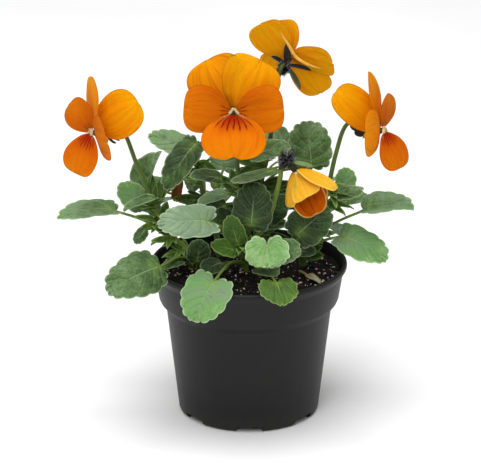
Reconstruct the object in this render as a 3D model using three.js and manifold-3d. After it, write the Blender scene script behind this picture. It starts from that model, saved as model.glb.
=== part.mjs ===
// A small-flowered orange pansy growing in a round plastic nursery pot.
// Millimetres, +Z up, +X right, +Y to the back. The origin is the centre of the pot's underside.
// The pot holds a block of potting soil. Eight leafy shoots stand in holes in the soil, five of
// them carry a bloom's stalk and calyx, and each bloom's petals are a piece of their own.

import * as THREE from "three";
import { mergeVertices } from "three/addons/utils/BufferGeometryUtils.js";
import Module from "manifold-3d";

const wasm = await Module();
wasm.setup();

// Driving dimensions

const POT = {
  height: 84,
  rimRadius: 52.5, // a 10.5 cm pot
  lipHeight: 3,
  lipWidth: 1.9,
  wall: 1.2,
  footRadius: 37.6,
  footRound: 1.4,
  shoulderHeight: 59.5, // top of the tapered wall
  shoulderRadius: 44.4,
  collarHeight: 64.5, // bottom of the collar under the lip
  collarRadius: 48.2,
  collarTopHeight: 78,
  collarTopRadius: 50.4,
  floorLift: 3, // the floor's underside stands clear of the table
  footRingInside: 33.4,
  restDiscRadius: 14,
  notches: 7,
  notchWidth: 13.8,
  notchHeight: 3.2,
  drainRadius: 2.6,
  drainAt: 27,
  sides: 30,
};

const SOIL = {
  clearance: 0.35, // round the block and round each stem
  edgeHeight: 78.6,
  crownRise: 2.6,
  lump: 0.8,
  rings: 3,
};

const STEM_FOOT = 68; // the shoots reach this far down into the soil
const STEM_CLEAR = 86; // and stand upright up to here

const BLADE = 0.7; // thickness of every leaf and petal
const PETIOLE = 0.9; // radii of the thin stalks
const STALK = 1.15;
const NARROW_LEAF = 10; // leaves below this width have one row less
const PETIOLE_REACH = 0.1; // share of a leaf's length that its stalk runs under
const STIPULE = { length: 11, width: 2.9, spread: 0.4 };

// Outline and form of each kind of blade. taper above 0 makes it widest near its base, heart sets
// the lobes beside the stalk, blunt below 1 squares it off, claw narrows its foot. arch, fold and
// cup are the rise along its middle, the rise of its halves and the curl of its edges.
const LEAF = {
  rows: 7, columns: 4, taper: 0.2, heart: 0.2, blunt: 0.8, claw: 0, teeth: 3.5, tooth: 0.13, notch: 0,
  arch: 0.1, fold: 0.12, cup: -0.14,
};
const SMALL_LEAF = {
  rows: 5, columns: 2, taper: 0.1, heart: 0.1, blunt: 0.8, claw: 0, teeth: 2.5, tooth: 0.13, notch: 0,
  arch: 0.1, fold: 0.1, cup: 0,
};
const PETAL = {
  rows: 4, columns: 4, taper: -0.15, heart: 0, blunt: 0.62, claw: 0.7, teeth: 0, tooth: 0, notch: 0,
  arch: 0.06, fold: 0, cup: -0.06,
};
const LOWER_PETAL = { ...PETAL, taper: 0, notch: 0.06 };
const FACET_PETAL = { ...PETAL, columns: 2, taper: -0.8, blunt: 0.4, arch: 0, cup: 0.1 };
const HOOD_PETAL = { ...PETAL, columns: 2, taper: -0.1, arch: -0.08, fold: 0.1, cup: 0.3 };

// Solids from geometry

function solidOf(geometry) {
  const flat = geometry.index ? geometry.toNonIndexed() : geometry.clone();
  flat.deleteAttribute("normal");
  flat.deleteAttribute("uv");
  const merged = mergeVertices(flat, 1e-4);
  return new wasm.Manifold(
    new wasm.Mesh({
      numProp: 3,
      vertProperties: new Float32Array(merged.attributes.position.array),
      triVerts: new Uint32Array(merged.index.array),
    }),
  );
}

function geometryOf(solid) {
  const { vertProperties, triVerts, numProp } = solid.getMesh();
  const geometry = new THREE.BufferGeometry();
  const points = new Float32Array((vertProperties.length / numProp) * 3);
  for (let i = 0; i < points.length / 3; i++)
    for (let k = 0; k < 3; k++) points[3 * i + k] = vertProperties[numProp * i + k];
  geometry.setAttribute("position", new THREE.BufferAttribute(points, 3));
  geometry.setIndex(new THREE.BufferAttribute(new Uint32Array(triVerts), 1));
  geometry.computeVertexNormals();
  return geometry;
}

function fuse(solids) {
  return solids.reduce((whole, piece) => whole.add(piece));
}

function part(name, solid, finish) {
  const material = new THREE.MeshStandardMaterial({ metalness: 0, ...finish });
  const mesh = new THREE.Mesh(geometryOf(solid), material);
  mesh.name = name;
  return mesh;
}

const at = (point) => new THREE.Vector3(...point);

// A round stalk along a curve through the points
function tube(points, radius, sides, steps) {
  const section = new THREE.Shape(
    Array.from({ length: sides }, (_, i) => {
      const turn = (2 * Math.PI * i) / sides;
      return new THREE.Vector2(radius * Math.cos(turn), radius * Math.sin(turn));
    }),
  );
  const extrudePath = new THREE.CatmullRomCurve3(points);
  return solidOf(new THREE.ExtrudeGeometry(section, { steps, extrudePath, bevelEnabled: false }));
}

// The two crosswise directions of a blade that runs along `along` and faces `face`
function bladeFrame(along, face) {
  const normal = face.clone().addScaledVector(along, -face.dot(along)).normalize();
  return { normal, across: along.clone().cross(normal) };
}

// One point of a blade's middle surface: u runs from edge to edge (-1 to 1), v from base to tip
function bladePoint(form, length, width, u, v) {
  const start = 0.12;
  const angle = start + (Math.PI - 2 * start) * v;
  const blunt = form.blunt + (angle < Math.PI / 2 ? 2 * form.heart : 0);
  const side =
    Math.sin(angle) ** blunt * (1 + form.taper * Math.cos(angle)) * (1 - form.claw * (1 - v) ** 4);
  const tooth = form.teeth
    ? 1 + form.tooth * (Math.abs(Math.sin(form.teeth * Math.PI * v)) ** 0.7 - 0.6)
    : 1;
  const edgeX = 0.5 * width * side * tooth;
  let edgeY = 0.5 * length * (1 - Math.cos(angle));
  if (angle < Math.PI / 2) edgeY -= form.heart * length * Math.sin(2 * angle);
  edgeY = 0.5 * length + (edgeY - 0.5 * length) * tooth;
  const middleY = length * v ** 1.25 * (1 - form.notch * v ** 6);
  const a = Math.abs(u);
  const x = u * edgeX;
  const y = middleY + (edgeY - middleY) * a ** 1.3;
  const height =
    form.arch * length * 4 * v * (1 - v) +
    width * (0.5 * form.fold * a + 0.5 * form.cup * a * a) * side;
  return [x, y, height];
}

// Gives the place of a blade's point in space, lifted off its middle surface along its normal
function bladeMap(form, base, tip, width, face) {
  const along = tip.clone().sub(base);
  const length = along.length();
  along.normalize();
  const { normal, across } = bladeFrame(along, face);
  return (u, v, lift) => {
    const [x, y, z] = bladePoint(form, length, width, u, v);
    const point = base.clone().addScaledVector(across, x).addScaledVector(along, y);
    return point.addScaledVector(normal, z + lift);
  };
}

// A thin blade, with the same triangles on both faces and a closed rim
function blade(form, base, tip, width, face) {
  const place = bladeMap(form, base, tip, width, face);
  const { rows, columns } = form;
  const points = [];
  for (const lift of [0.5 * BLADE, -0.5 * BLADE])
    for (let row = 0; row <= rows; row++)
      for (let column = 0; column <= columns; column++)
        points.push(...place((2 * column) / columns - 1, row / rows, lift));
  const layer = (rows + 1) * (columns + 1);
  const index = (row, column) => row * (columns + 1) + column;
  const faces = [];
  for (let row = 0; row < rows; row++)
    for (let column = 0; column < columns; column++) {
      const a = index(row, column);
      const b = index(row, column + 1);
      const c = index(row + 1, column + 1);
      const d = index(row + 1, column);
      const split = column < columns / 2 ? [[a, b, c], [a, c, d]] : [[a, b, d], [b, c, d]];
      for (const [p, q, r] of split) {
        faces.push(p, q, r);
        faces.push(p + layer, r + layer, q + layer);
      }
    }
  const rim = [];
  for (let column = 0; column < columns; column++) rim.push(index(0, column));
  for (let row = 0; row < rows; row++) rim.push(index(row, columns));
  for (let column = columns; column > 0; column--) rim.push(index(rows, column));
  for (let row = rows; row > 0; row--) rim.push(index(row, 0));
  rim.forEach((p, i) => {
    const q = rim[(i + 1) % rim.length];
    faces.push(p, p + layer, q + layer);
    faces.push(p, q + layer, q);
  });
  const geometry = new THREE.BufferGeometry();
  geometry.setAttribute("position", new THREE.Float32BufferAttribute(points, 3));
  geometry.setIndex(faces);
  return solidOf(geometry);
}

// A narrow pointed lobe, widest near its middle
function lobe(base, tip, width, face) {
  const along = tip.clone().sub(base);
  const length = along.length();
  along.normalize();
  const { normal, across } = bladeFrame(along, face);
  const basis = new THREE.Matrix4().makeBasis(across, along, normal);
  const spindle = new THREE.OctahedronGeometry(0.5).scale(width, length, 1.6 * BLADE);
  spindle.applyMatrix4(basis.setPosition(base.clone().addScaledVector(along, 0.5 * length)));
  return solidOf(spindle);
}

// Leafy shoots

// A leaf and the stalk that joins it to its root. Its row gives the blade's base and tip, its width,
// the way it faces, and what differs from its form; sag is the rise of the stalk's middle.
function leaf(form, root, [base, tip, width, face, { sag = 0.06, ...bend } = {}]) {
  const start = at(base);
  const rows = width < NARROW_LEAF ? form.rows - 1 : form.rows;
  const shape = { ...form, rows, ...bend };
  const middle = root.clone().lerp(start, 0.5);
  middle.z += sag * start.distanceTo(root);
  const inside = bladeMap(shape, start, at(tip), width, at(face))(0, PETIOLE_REACH, -0.3);
  const stalk = tube([root, middle, start, inside], PETIOLE, 3, form.columns > 2 ? 3 : 2);
  return stalk.add(blade(shape, start, at(tip), width, at(face)));
}

// A pair of narrow lobes at the foot of a leaf stalk
function stipule(root, aim) {
  const { length, width, spread } = STIPULE;
  const out = at(aim).normalize();
  const side = out.clone().cross(new THREE.Vector3(0, 0, 1)).normalize();
  const lobes = [-spread, spread].map((swing) => {
    const way = out.clone().addScaledVector(side, swing).normalize();
    const base = root.clone().addScaledVector(way, -0.8);
    return lobe(base, root.clone().addScaledVector(way, length), width, side.clone().cross(way));
  });
  return fuse(lobes);
}

// Blooms

// Each petal: clock is its direction from straight up, clockwise as seen from the front, tilt its
// lean towards the front, layer its place front to back
const UPPER = { form: PETAL, length: 30.3, width: 31, tilt: -8 };
const SIDE = { form: PETAL, length: 26, width: 25, tilt: 4 };
const LOWER = { form: LOWER_PETAL, length: 25, width: 35, tilt: 8 };
const OPEN_PETALS = {
  upperLeft: { ...UPPER, clock: -28, layer: -1.9 },
  upperRight: { ...UPPER, clock: 28, layer: -1.2 },
  sideLeft: { ...SIDE, clock: -85, layer: 0 },
  sideRight: { ...SIDE, clock: 85, layer: 0.1 },
  lower: { ...LOWER, clock: 180, layer: 1.2 },
};
const HOOD = { form: HOOD_PETAL, layer: -1 };
const PETAL_FOOT = 1.5; // from the bloom's axis to a petal's foot, inside the throat
const THROAT = { radius: 2.3, front: 1.7, back: -3 };
const SPUR = { radius: 1.1, drop: 3.4, back: -7.2 };
const CALYX = {
  radius: 2.1,
  behind: 5.6,
  sepal: 10,
  sepalWidth: 3,
  lean: -22,
  clocks: [0, 62, 122, 238, 298],
};

function bloomFrame({ centre, front, up = [0, 0, 1] }) {
  const ahead = at(front).normalize();
  const { normal: upward } = bladeFrame(ahead, at(up));
  const right = upward.clone().cross(ahead);
  const place = (x, y, z) =>
    at(centre).addScaledVector(right, x).addScaledVector(upward, y).addScaledVector(ahead, z);
  return { ahead, upward, right, place };
}

// A direction in the bloom's face plane, leaning forward by tilt degrees, and its face
function bloomRay({ ahead, upward, right }, clock, tilt) {
  const spin = THREE.MathUtils.degToRad(clock);
  const lean = THREE.MathUtils.degToRad(tilt);
  const level = upward.clone().multiplyScalar(Math.cos(spin)).addScaledVector(right, Math.sin(spin));
  const way = level.clone().multiplyScalar(Math.cos(lean)).addScaledVector(ahead, Math.sin(lean));
  const face = ahead.clone().multiplyScalar(Math.cos(lean)).addScaledVector(level, -Math.sin(lean));
  return { way, face };
}

function petals(bloom) {
  const frame = bloomFrame(bloom);
  const { place } = frame;
  const pieces = Object.entries(OPEN_PETALS).map(([name, petal]) => {
    const { form, length, width, clock, tilt, layer, aim, front, ...bend } = {
      ...petal,
      ...bloom.petals?.[name],
    };
    const { way, face } = aim
      ? { way: at(aim).normalize(), face: at(front) }
      : bloomRay(frame, clock, tilt);
    const base = place(0, 0, layer).addScaledVector(way, PETAL_FOOT);
    const tip = place(0, 0, layer).addScaledVector(way, aim ? at(aim).length() : length);
    return blade({ ...form, ...bend }, base, tip, width, face);
  });
  pieces.push(tube([place(0, 0, THROAT.back), place(0, 0, THROAT.front)], THROAT.radius, 6, 1));
  const spur = [place(0, -1, -1), place(0, -SPUR.drop, -3), place(0, -SPUR.drop - 0.6, SPUR.back)];
  pieces.push(tube(spur, SPUR.radius, 4, 2));
  return fuse(pieces);
}

// The stalk's end, the swelling behind the petals and the five sepals round it
function calyx(bloom) {
  const frame = bloomFrame(bloom);
  const heart = frame.place(0, 0, -CALYX.behind);
  const ball = new THREE.IcosahedronGeometry(CALYX.radius).translate(...heart);
  const ways =
    bloom.sepals?.map((aim) => at(aim)) ??
    CALYX.clocks.map((clock) => bloomRay(frame, clock, CALYX.lean).way.multiplyScalar(CALYX.sepal));
  const sepals = ways.map((way) => {
    const base = heart.clone().addScaledVector(way, 0.1);
    return lobe(base, heart.clone().add(way), CALYX.sepalWidth, frame.ahead);
  });
  return fuse([solidOf(ball), ...sepals]);
}

// The stalk of a bloom, from its shoot through the points `stalk` and over its crook to the calyx
function bloomStalk(bloom, points) {
  const { place } = bloomFrame(bloom);
  const path = [...points.map(at), ...(bloom.crook ?? []).map(at), place(0, 0.4, -CALYX.behind - 0.6)];
  return tube(path, bloom.stalkRadius ?? STALK, 5, 9);
}

const BLOOMS = {
  front: {
    centre: [-8, -25, 175.5],
    front: [0, -0.966, 0.259],
    crook: [[-7, -9, 164], [-7.5, -11, 171]],
  },
  left: {
    centre: [-81, -10, 159.5],
    front: [-0.93, -0.32, 0.15],
    petals: {
      upperLeft: { aim: [-3, 6, 28.5], front: [-0.94, -0.3, 0.05], width: 23 },
      upperRight: { aim: [22, -1.1, 17], front: [-0.25, -0.85, 0.45], width: 27, taper: 0 },
      sideLeft: { aim: [-13, 7.5, 13.4], front: [-0.8, -0.55, 0.2], width: 21 },
      sideRight: { aim: [8, -20, 1.7], front: [-0.9, -0.38, -0.19], width: 25 },
      lower: { aim: [-9, -6, -20.8], front: [-0.75, -0.62, 0.25], width: 27, form: PETAL, blunt: 0.5 },
    },
    sepals: [[9, 3, 2], [5, 7, 5], [3, 9, -2], [6, 4, -7], [8, 2, -5]],
    crook: [[-68.5, 6, 158], [-73, -1, 161.5]],
  },
  right: {
    centre: [69.2, -5, 159],
    front: [0.93, -0.33, 0.15],
    petals: {
      upperLeft: { aim: [-24.5, -0.6, 21.5], front: [0.25, -0.85, 0.45], width: 21, taper: 0, layer: 0.5 },
      upperRight: { aim: [-5.5, 6.6, 30], front: [0.93, -0.3, 0.2], width: 18, blunt: 1 },
      sideRight: { aim: [5.5, 8, 17], front: [0.9, -0.4, 0.1], width: 18 },
      sideLeft: { aim: [-9.5, -20, 4], front: [0.92, -0.38, 0.05], width: 25 },
      lower: { aim: [8.7, -6, -19.5], front: [0.75, -0.62, 0.25], width: 23, form: PETAL },
    },
    sepals: [[-11, 1.5, 2], [-5, 7, 6], [-3, 9, -1], [-8.5, 3, -2.5], [-3, 9, -7]],
    crook: [[56, 5, 161.5], [60.5, 1, 161.5]],
  },
  back: {
    centre: [21.2, 29.2, 188.6],
    front: [0.35, 0.75, 0.55],
    petals: {
      upperLeft: { aim: [-14.5, -3.8, 20.9], front: [0.2, 0.95, 0.1], width: 22 },
      upperRight: { aim: [-3.5, 4.7, 19.6], front: [0.3, 0.9, 0.1], width: 17, layer: -0.6 },
      sideRight: { aim: [23.2, -12.3, -0.3], front: [0.3, 0.8, 0.5], width: 22 },
      sideLeft: { aim: [-12, 14.2, -10.6], front: [0.5, 0.7, 0.5], width: 16 },
      lower: { aim: [17.4, 2.8, -21.8], front: [0.4, 0.85, 0.3], width: 23, form: PETAL },
    },
    sepals: [[8, -1, -13.3], [13.9, 0, -3.4], [-7.5, 0, 4.6], [1.2, -1, 12.5], [-6, -1, -8]],
    crook: [[16, 19, 182], [17.5, 20.5, 186]],
  },
  nodding: {
    centre: [24, -21, 142.2],
    front: [0.61, -0.42, -0.67],
    up: [0, -0.94, 0.34],
    petals: {
      upperLeft: { ...HOOD, aim: [22, -9.4, -7.8], front: [-0.25, 0.12, -0.965], width: 14, arch: -0.14 },
      upperRight: { ...HOOD, aim: [15.5, 1.5, -18.3], front: [-0.2, -0.77, 0.5], width: 13 },
      sideRight: { ...HOOD, aim: [11.6, -5.7, -23.5], front: [0.1, -0.84, 0.47], width: 18.6 },
      sideLeft: { ...HOOD, aim: [-3.3, -5.7, -19.2], front: [0.9, 0.34, -0.23], width: 14 },
      lower: {
        ...HOOD, form: FACET_PETAL, aim: [7.1, -13.4, -10.9], front: [0.35, 0.65, -0.67], width: 11.5,
      },
    },
    sepals: [[13, -3.5, -0.5], [3, 6, 5], [1, -8, 1.5], [-5, -4, -3], [-4, 4, 3]],
    crook: [[17, -15, 150], [19.5, -16, 149.5]],
    stalkRadius: 1.4,
  },
};

// Each shoot's stem, the stalk of the bloom that it carries, and its leaves and stipules, each with
// the share of the stem's length where it grows
const SHOOTS = {
  left: {
    stem: [[-30, -2], [-38, -1, 94], [-47, 0, 106], [-51, 2, 117]],
    radius: 2.5,
    bloom: "left",
    stalk: [[-50, 1.5, 114], [-59, 5, 135], [-65, 8, 151]],
    leaves: [
      [0.62, [-70, -5, 113.5], [-101, -12, 112], 17, [0, -0.25, 0.97], { fold: 0.25, heart: 0.1 }],
      [0.3, [-46, -28, 91], [-74, -42, 82.3], 25.5, [-0.2, -0.75, 0.6], { heart: 0.04, sag: 0.1 }],
    ],
    smallLeaves: [
      [
        0.92, [-52.5, 12, 119], [-46.6, 22, 138], 18, [-0.75, -0.65, 0.1],
        { taper: 0.4, fold: 0.8, blunt: 1.1 },
      ],
      [0.95, [-56, 4, 114], [-69, 0, 127], 14, [-0.2, -0.8, 0.5]],
      [0.97, [-50, -4, 120], [-66, -12, 116], 8, [0, -0.2, 1], { arch: 0.14 }],
      [0.7, [-55, -10, 105], [-60, -15, 99], 7, [-0.2, -0.9, 0.4]],
      [0.2, [-28, -13, 88], [-26, -11, 100], 13, [0.2, -0.95, 0.2]],
      [0.22, [-36, -13, 88], [-45, -24, 88], 8, [-0.1, -0.5, 0.9]],
      [0.55, [-50, 18, 104], [-69, 30, 109], 16, [-0.2, 0.1, 1]],
    ],
    stipules: [[0.8, [-0.6, -0.7, 0.2]], [0.95, [0.3, -0.6, 0.6]]],
  },
  front: {
    stem: [[-2, -8], [-2, -11, 92], [-1, -15, 98]],
    radius: 2,
    bloom: "nodding",
    stalk: [[-1.5, -12, 94], [5, -12, 103], [10, -12, 111], [14, -15, 126], [16.5, -17, 138]],
    leaves: [
      [0.55, [-18, -45, 89.5], [-29, -60, 73], 25, [-0.1, -0.75, 0.65], { heart: 0.22, sag: 0.12 }],
      [0.6, [14, -49, 90], [17, -63, 83], 20, [0.1, -0.4, 0.9], { heart: 0.22, sag: 0.12 }],
      [0.95, [-21, -36, 119], [-47, -44, 120], 19, [0, -0.72, 0.7], { heart: 0.28 }],
      [0.98, [1, -27, 113], [3, -17, 134], 21, [0.05, -0.9, 0.4]],
      [0.9, [9.3, -42, 107], [9.7, -48, 98], 23, [0, -0.8, 0.6], { heart: 0.7, fold: 0.1 }],
    ],
    smallLeaves: [
      [0.85, [15, -28, 99], [27, -38, 102], 15, [0.2, -0.8, 0.55]],
      [0.9, [-5, -29, 103], [-10, -29, 120], 12, [-0.15, -0.95, 0.1]],
      [0.8, [-7, -29, 100], [-20, -36, 106], 9.5, [0, -0.8, 0.6]],
      [0.6, [4, -33, 92], [15, -43, 92], 12, [0.1, -0.5, 0.85]],
      [0.5, [-14, -18, 89], [-24, -30, 88], 13, [-0.2, -0.6, 0.8]],
    ],
    stipules: [[0.9, [0.1, -0.9, 0.1]], [0.98, [-0.3, -0.5, 0.8]]],
  },
  right: {
    stem: [[29, 3], [34, 4, 98], [40, 4, 114], [42, 3, 127]],
    radius: 1.8,
    bloom: "right",
    stalk: [[41.8, 3.2, 122], [46, 5.5, 142], [51, 7.5, 157]],
    leaves: [
      [0.35, [49, -3, 98.5], [73, -13, 89], 20, [0.1, -0.6, 0.8]],
      [
        0.42, [60.5, 0, 112.3], [87.2, -5, 115.2], 18, [0, -0.32, 0.95],
        { heart: 0.1, fold: 0.25, arch: 0.16 },
      ],
      [0.5, [25, -13, 103], [42, -5, 116], 21, [0.1, -0.88, 0.47]],
    ],
    smallLeaves: [
      [0.9, [50.5, 12, 119.5], [52, 15, 131.3], 12, [0.25, -0.95, 0.25]],
      [0.92, [47, -2, 121], [60, -7, 125], 9, [0, -0.6, 0.8]],
      [0.2, [27, -4, 90], [35, -12, 92], 9, [0.1, -0.6, 0.8]],
      [0.6, [50, 26, 106], [66, 37, 107], 17, [0.1, 0, 1]],
    ],
    stipules: [[0.85, [0.7, -0.5, 0.5]], [0.97, [0.5, -0.6, 0.2]]],
  },
  centre: {
    stem: [[0, 9], [-1, 4, 106], [-4, -5, 122], [-6, -9, 132]],
    radius: 1.7,
    bloom: "front",
    stalk: [[-5.7, -8.5, 130], [-6, -11, 140], [-6.5, -11, 152]],
    leaves: [],
    smallLeaves: [
      [0.92, [-14, -3, 130], [-31, -10, 135], 10, [0, -0.5, 0.86]],
      [0.8, [-11, 2, 121], [-27, -8, 118], 9, [0, -0.35, 0.95]],
      [0.97, [14, -6, 138], [-9, -24, 137], 12, [-0.1, -0.1, 1], { arch: -0.04 }],
      [0.55, [8, 0, 108], [20, -4, 122], 15, [0.1, -0.9, 0.4]],
      [0.6, [-9, -4, 106], [-21, -12, 112], 15, [-0.2, -0.8, 0.6]],
      [0.75, [-12, 4, 114], [-25, 2, 106], 13, [-0.1, -0.8, 0.6]],
    ],
    stipules: [[0.97, [0.5, -0.4, 0.6]]],
  },
  centre_back: {
    stem: [[4, 22], [4, 20, 106], [7, 17, 124], [11, 15, 140]],
    radius: 1.7,
    bloom: "back",
    stalk: [[10.2, 15.3, 137], [12, 18, 152], [14.5, 20, 172]],
    leaves: [
      [0.8, [33.5, 15, 131], [31, 25, 154], 23.5, [0.05, -0.92, 0.4], { taper: 0.1, heart: 0.12 }],
    ],
    smallLeaves: [
      [0.9, [1, 6, 140], [22, 10, 145], 12, [0, -0.6, 0.8]],
      [0.95, [19, 28, 138], [11, 38, 145], 15, [-0.2, -0.8, 0.6]],
      [0.7, [22, 34, 126], [34, 48, 126], 17, [0.2, 0.2, 1]],
      [0.55, [20, 14, 112], [33, 10, 126], 15, [0.1, -0.85, 0.5]],
      [0.6, [4, 11, 122], [-8, 10, 130], 14, [-0.1, -0.85, 0.5]],
    ],
    stipules: [[0.95, [0.5, -0.5, 0.4]]],
  },
  left_back: {
    stem: [[-16, 15], [-21, 18, 104], [-26, 18, 122], [-28, 17, 134]],
    radius: 1.7,
    leaves: [
      [0.98, [-29, 32, 133], [-54, 30, 144], 16, [-0.1, -0.55, 0.83]],
      [0.99, [-27, 5, 149], [-44, -5, 126], 16, [-0.5, -0.85, 0.2], { heart: 0.12, fold: 0.3, sag: 0.2 }],
    ],
    smallLeaves: [
      [0.7, [-24, 32, 122], [-34, 40, 112], 12, [0, -0.8, 0.5]],
      [0.9, [-16, 30, 136], [-6, 42, 142], 16, [0.1, 0.2, 1]],
      [0.6, [-44, 30, 112], [-62, 40, 116], 18, [-0.2, 0.2, 1]],
      [0.62, [-30, 9, 108], [-39, -2, 104], 13, [-0.2, -0.8, 0.6]],
    ],
    stipules: [[0.95, [0.4, -0.6, 0.6]]],
  },
  back_left: {
    stem: [[-9, 32], [-13, 38, 98], [-18, 43, 110]],
    radius: 1.7,
    leaves: [
      [0.4, [-13, 48, 91], [-20, 64, 76], 24, [-0.1, 0.75, 0.65], { heart: 0.24 }],
    ],
    smallLeaves: [
      [0.6, [-30, 50, 100], [-49, 60, 95], 20, [-0.3, 0.4, 0.9]],
      [0.95, [-26, 50, 118], [-42, 58, 122], 17, [-0.3, 0.5, 0.8]],
      [0.98, [-14, 50, 118], [-10, 58, 134], 16, [0, 0.9, 0.4]],
      [0.8, [-4, 54, 106], [4, 68, 106], 17, [0.1, 0.4, 0.9]],
    ],
    stipules: [[0.95, [0.2, 0.7, 0.6]]],
  },
  back_right: {
    stem: [[24, 27], [30, 34, 98], [34, 40, 111]],
    radius: 1.7,
    leaves: [
      [0.35, [40, 32, 93], [57, 44, 78], 23, [0.5, 0.6, 0.7], { heart: 0.24 }],
    ],
    smallLeaves: [
      [0.6, [46, 40, 102], [66, 48, 100], 20, [0.2, 0.3, 0.95]],
      [0.9, [42, 50, 110], [55, 60, 108], 18, [0.3, 0.5, 0.8]],
      [0.97, [26, 48, 118], [22, 60, 128], 17, [0, 0.6, 0.8]],
      [0.7, [22, 50, 96], [20, 66, 90], 20, [0, 0.4, 0.9]],
    ],
    stipules: [[0.95, [0.6, 0.5, 0.6]]],
  },
};

// Loose dry leaves: the foot of each one's stalk, then its row as for any leaf
const DRY_LEAVES = {
  withered: [
    [-29.1, 17, 127.5],
    [[-36, 13.5, 126], [-39, 13, 113], 6, [-0.4, -0.9, 0.1], { fold: 0.5 }],
  ],
  fallen: [
    [27, -10, 81.4],
    [[31, -16, 81.4], [37.5, -27, 80.8], 5, [0.1, -0.2, 1], { fold: 0.3, arch: 0.05 }],
  ],
};

function shootCurve({ stem }) {
  const [[x, y], ...rest] = stem;
  const foot = [[x, y, STEM_FOOT], [x, y, 0.5 * (STEM_FOOT + STEM_CLEAR)], [x, y, STEM_CLEAR]];
  return new THREE.CatmullRomCurve3([...foot, ...rest].map(at), false, "centripetal");
}

function shootSolid(shoot) {
  const curve = shootCurve(shoot);
  const pieces = [
    tube(curve.getPoints(8), shoot.radius, 5, 5),
    ...shoot.leaves.map(([from, ...row]) => leaf(LEAF, curve.getPointAt(from), row)),
    ...shoot.smallLeaves.map(([from, ...row]) => leaf(SMALL_LEAF, curve.getPointAt(from), row)),
    ...shoot.stipules.map(([from, aim]) => stipule(curve.getPointAt(from), aim)),
  ];
  if (shoot.bloom) {
    const bloom = BLOOMS[shoot.bloom];
    pieces.push(bloomStalk(bloom, shoot.stalk), calyx(bloom));
  }
  return fuse(pieces);
}

// The pot and its soil

// A profile of [radius, height] points turned round the pot's axis
function turned(profile) {
  const points = profile.map(([r, z]) => new THREE.Vector2(r, z));
  return new THREE.LatheGeometry(points, POT.sides).rotateX(Math.PI / 2);
}

// Inner radius of the pot's wall at a height, less a clearance
function insideRadius(z, clearance) {
  const { footRadius, shoulderRadius, shoulderHeight, collarRadius, collarHeight } = POT;
  const { collarTopRadius, collarTopHeight, wall } = POT;
  const outer =
    z <= shoulderHeight
      ? THREE.MathUtils.mapLinear(z, 0, shoulderHeight, footRadius, shoulderRadius)
      : z <= collarHeight
        ? THREE.MathUtils.mapLinear(z, shoulderHeight, collarHeight, shoulderRadius, collarRadius)
        : THREE.MathUtils.mapLinear(z, collarHeight, collarTopHeight, collarRadius, collarTopRadius);
  return outer - wall - clearance;
}

function potSolid() {
  const p = POT;
  const lipBottom = p.height - p.lipHeight;
  const floorTop = p.floorLift + p.wall;
  const profile = [
    [0, 0],
    [p.restDiscRadius, 0],
    [p.restDiscRadius + 1, p.floorLift],
    [p.footRingInside - 0.4, p.floorLift],
    [p.footRingInside, 0],
    [p.footRadius - p.footRound, 0],
    [insideRadius(p.footRound, -p.wall), p.footRound],
    [p.shoulderRadius, p.shoulderHeight],
    [p.collarRadius - 0.7, p.collarHeight - 1.6],
    [p.collarRadius, p.collarHeight],
    [p.collarTopRadius, p.collarTopHeight],
    [p.rimRadius - 0.4, lipBottom],
    [p.rimRadius, lipBottom + 0.6],
    [p.rimRadius, p.height - 0.7],
    [p.rimRadius - 0.6, p.height],
    [p.rimRadius - p.lipWidth, p.height],
    [insideRadius(p.collarTopHeight, 0), p.collarTopHeight],
    [insideRadius(p.collarHeight + 0.6, 0), p.collarHeight + 0.6],
    [insideRadius(p.shoulderHeight, 0), p.shoulderHeight + 0.6],
    [insideRadius(floorTop, 0), floorTop],
    [0, floorTop],
  ];
  let pot = solidOf(turned(profile));
  for (let i = 0; i < p.notches; i++) {
    const turn = -Math.PI / 2 + (2 * Math.PI * i) / p.notches;
    const reach = p.footRadius - p.footRingInside + 6;
    const notch = new THREE.BoxGeometry(reach, p.notchWidth, 2 * p.notchHeight);
    notch.translate(p.footRingInside - 2 + 0.5 * reach, 0, 0).rotateZ(turn);
    const drain = new THREE.CylinderGeometry(p.drainRadius, p.drainRadius, 4 * p.wall, 6);
    drain.rotateX(Math.PI / 2).translate(p.drainAt, 0, floorTop - 0.5 * p.wall).rotateZ(turn);
    pot = pot.subtract(solidOf(notch)).subtract(solidOf(drain));
  }
  return pot;
}

// Height of the soil's lumps, the same at every build
function lump(x, y) {
  return (
    SOIL.lump *
    (0.5 * Math.sin(0.41 * x + 1.3) * Math.cos(0.37 * y - 0.6) +
      0.3 * Math.sin(0.83 * x - 0.71 * y) +
      0.2 * Math.cos(1.27 * y + 0.9 * x + 2))
  );
}

function soilSolid() {
  const { clearance, edgeHeight, crownRise, rings } = SOIL;
  const bottom = POT.floorLift + POT.wall + clearance;
  const edge = insideRadius(edgeHeight, clearance);
  const profile = [
    [0, bottom],
    [insideRadius(bottom, clearance), bottom],
    [insideRadius(POT.shoulderHeight, clearance), POT.shoulderHeight + 1.2],
    [insideRadius(POT.collarHeight + 0.6, clearance), POT.collarHeight + 1.4],
    [edge, edgeHeight],
  ];
  for (let ring = rings - 1; ring >= 0; ring--) {
    const share = ring / rings;
    profile.push([edge * share, edgeHeight + crownRise * (1 - share ** 2)]);
  }
  const block = turned(profile);
  const spots = block.attributes.position;
  for (let i = 0; i < spots.count; i++) {
    const [x, y, z] = [spots.getX(i), spots.getY(i), spots.getZ(i)];
    if (z > edgeHeight + 0.1) spots.setZ(i, z + lump(x, y));
  }
  let soil = solidOf(block);
  for (const { stem, radius } of Object.values(SHOOTS)) {
    const [[x, y]] = stem;
    const bore = (radius + clearance) / Math.cos(Math.PI / 8);
    const depth = POT.height - STEM_FOOT + clearance;
    const hole = new THREE.CylinderGeometry(bore, bore, 2 * depth, 8).rotateX(Math.PI / 2);
    hole.translate(x, y, STEM_FOOT - clearance + depth);
    soil = soil.subtract(solidOf(hole));
  }
  return soil;
}

// The whole plant

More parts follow.
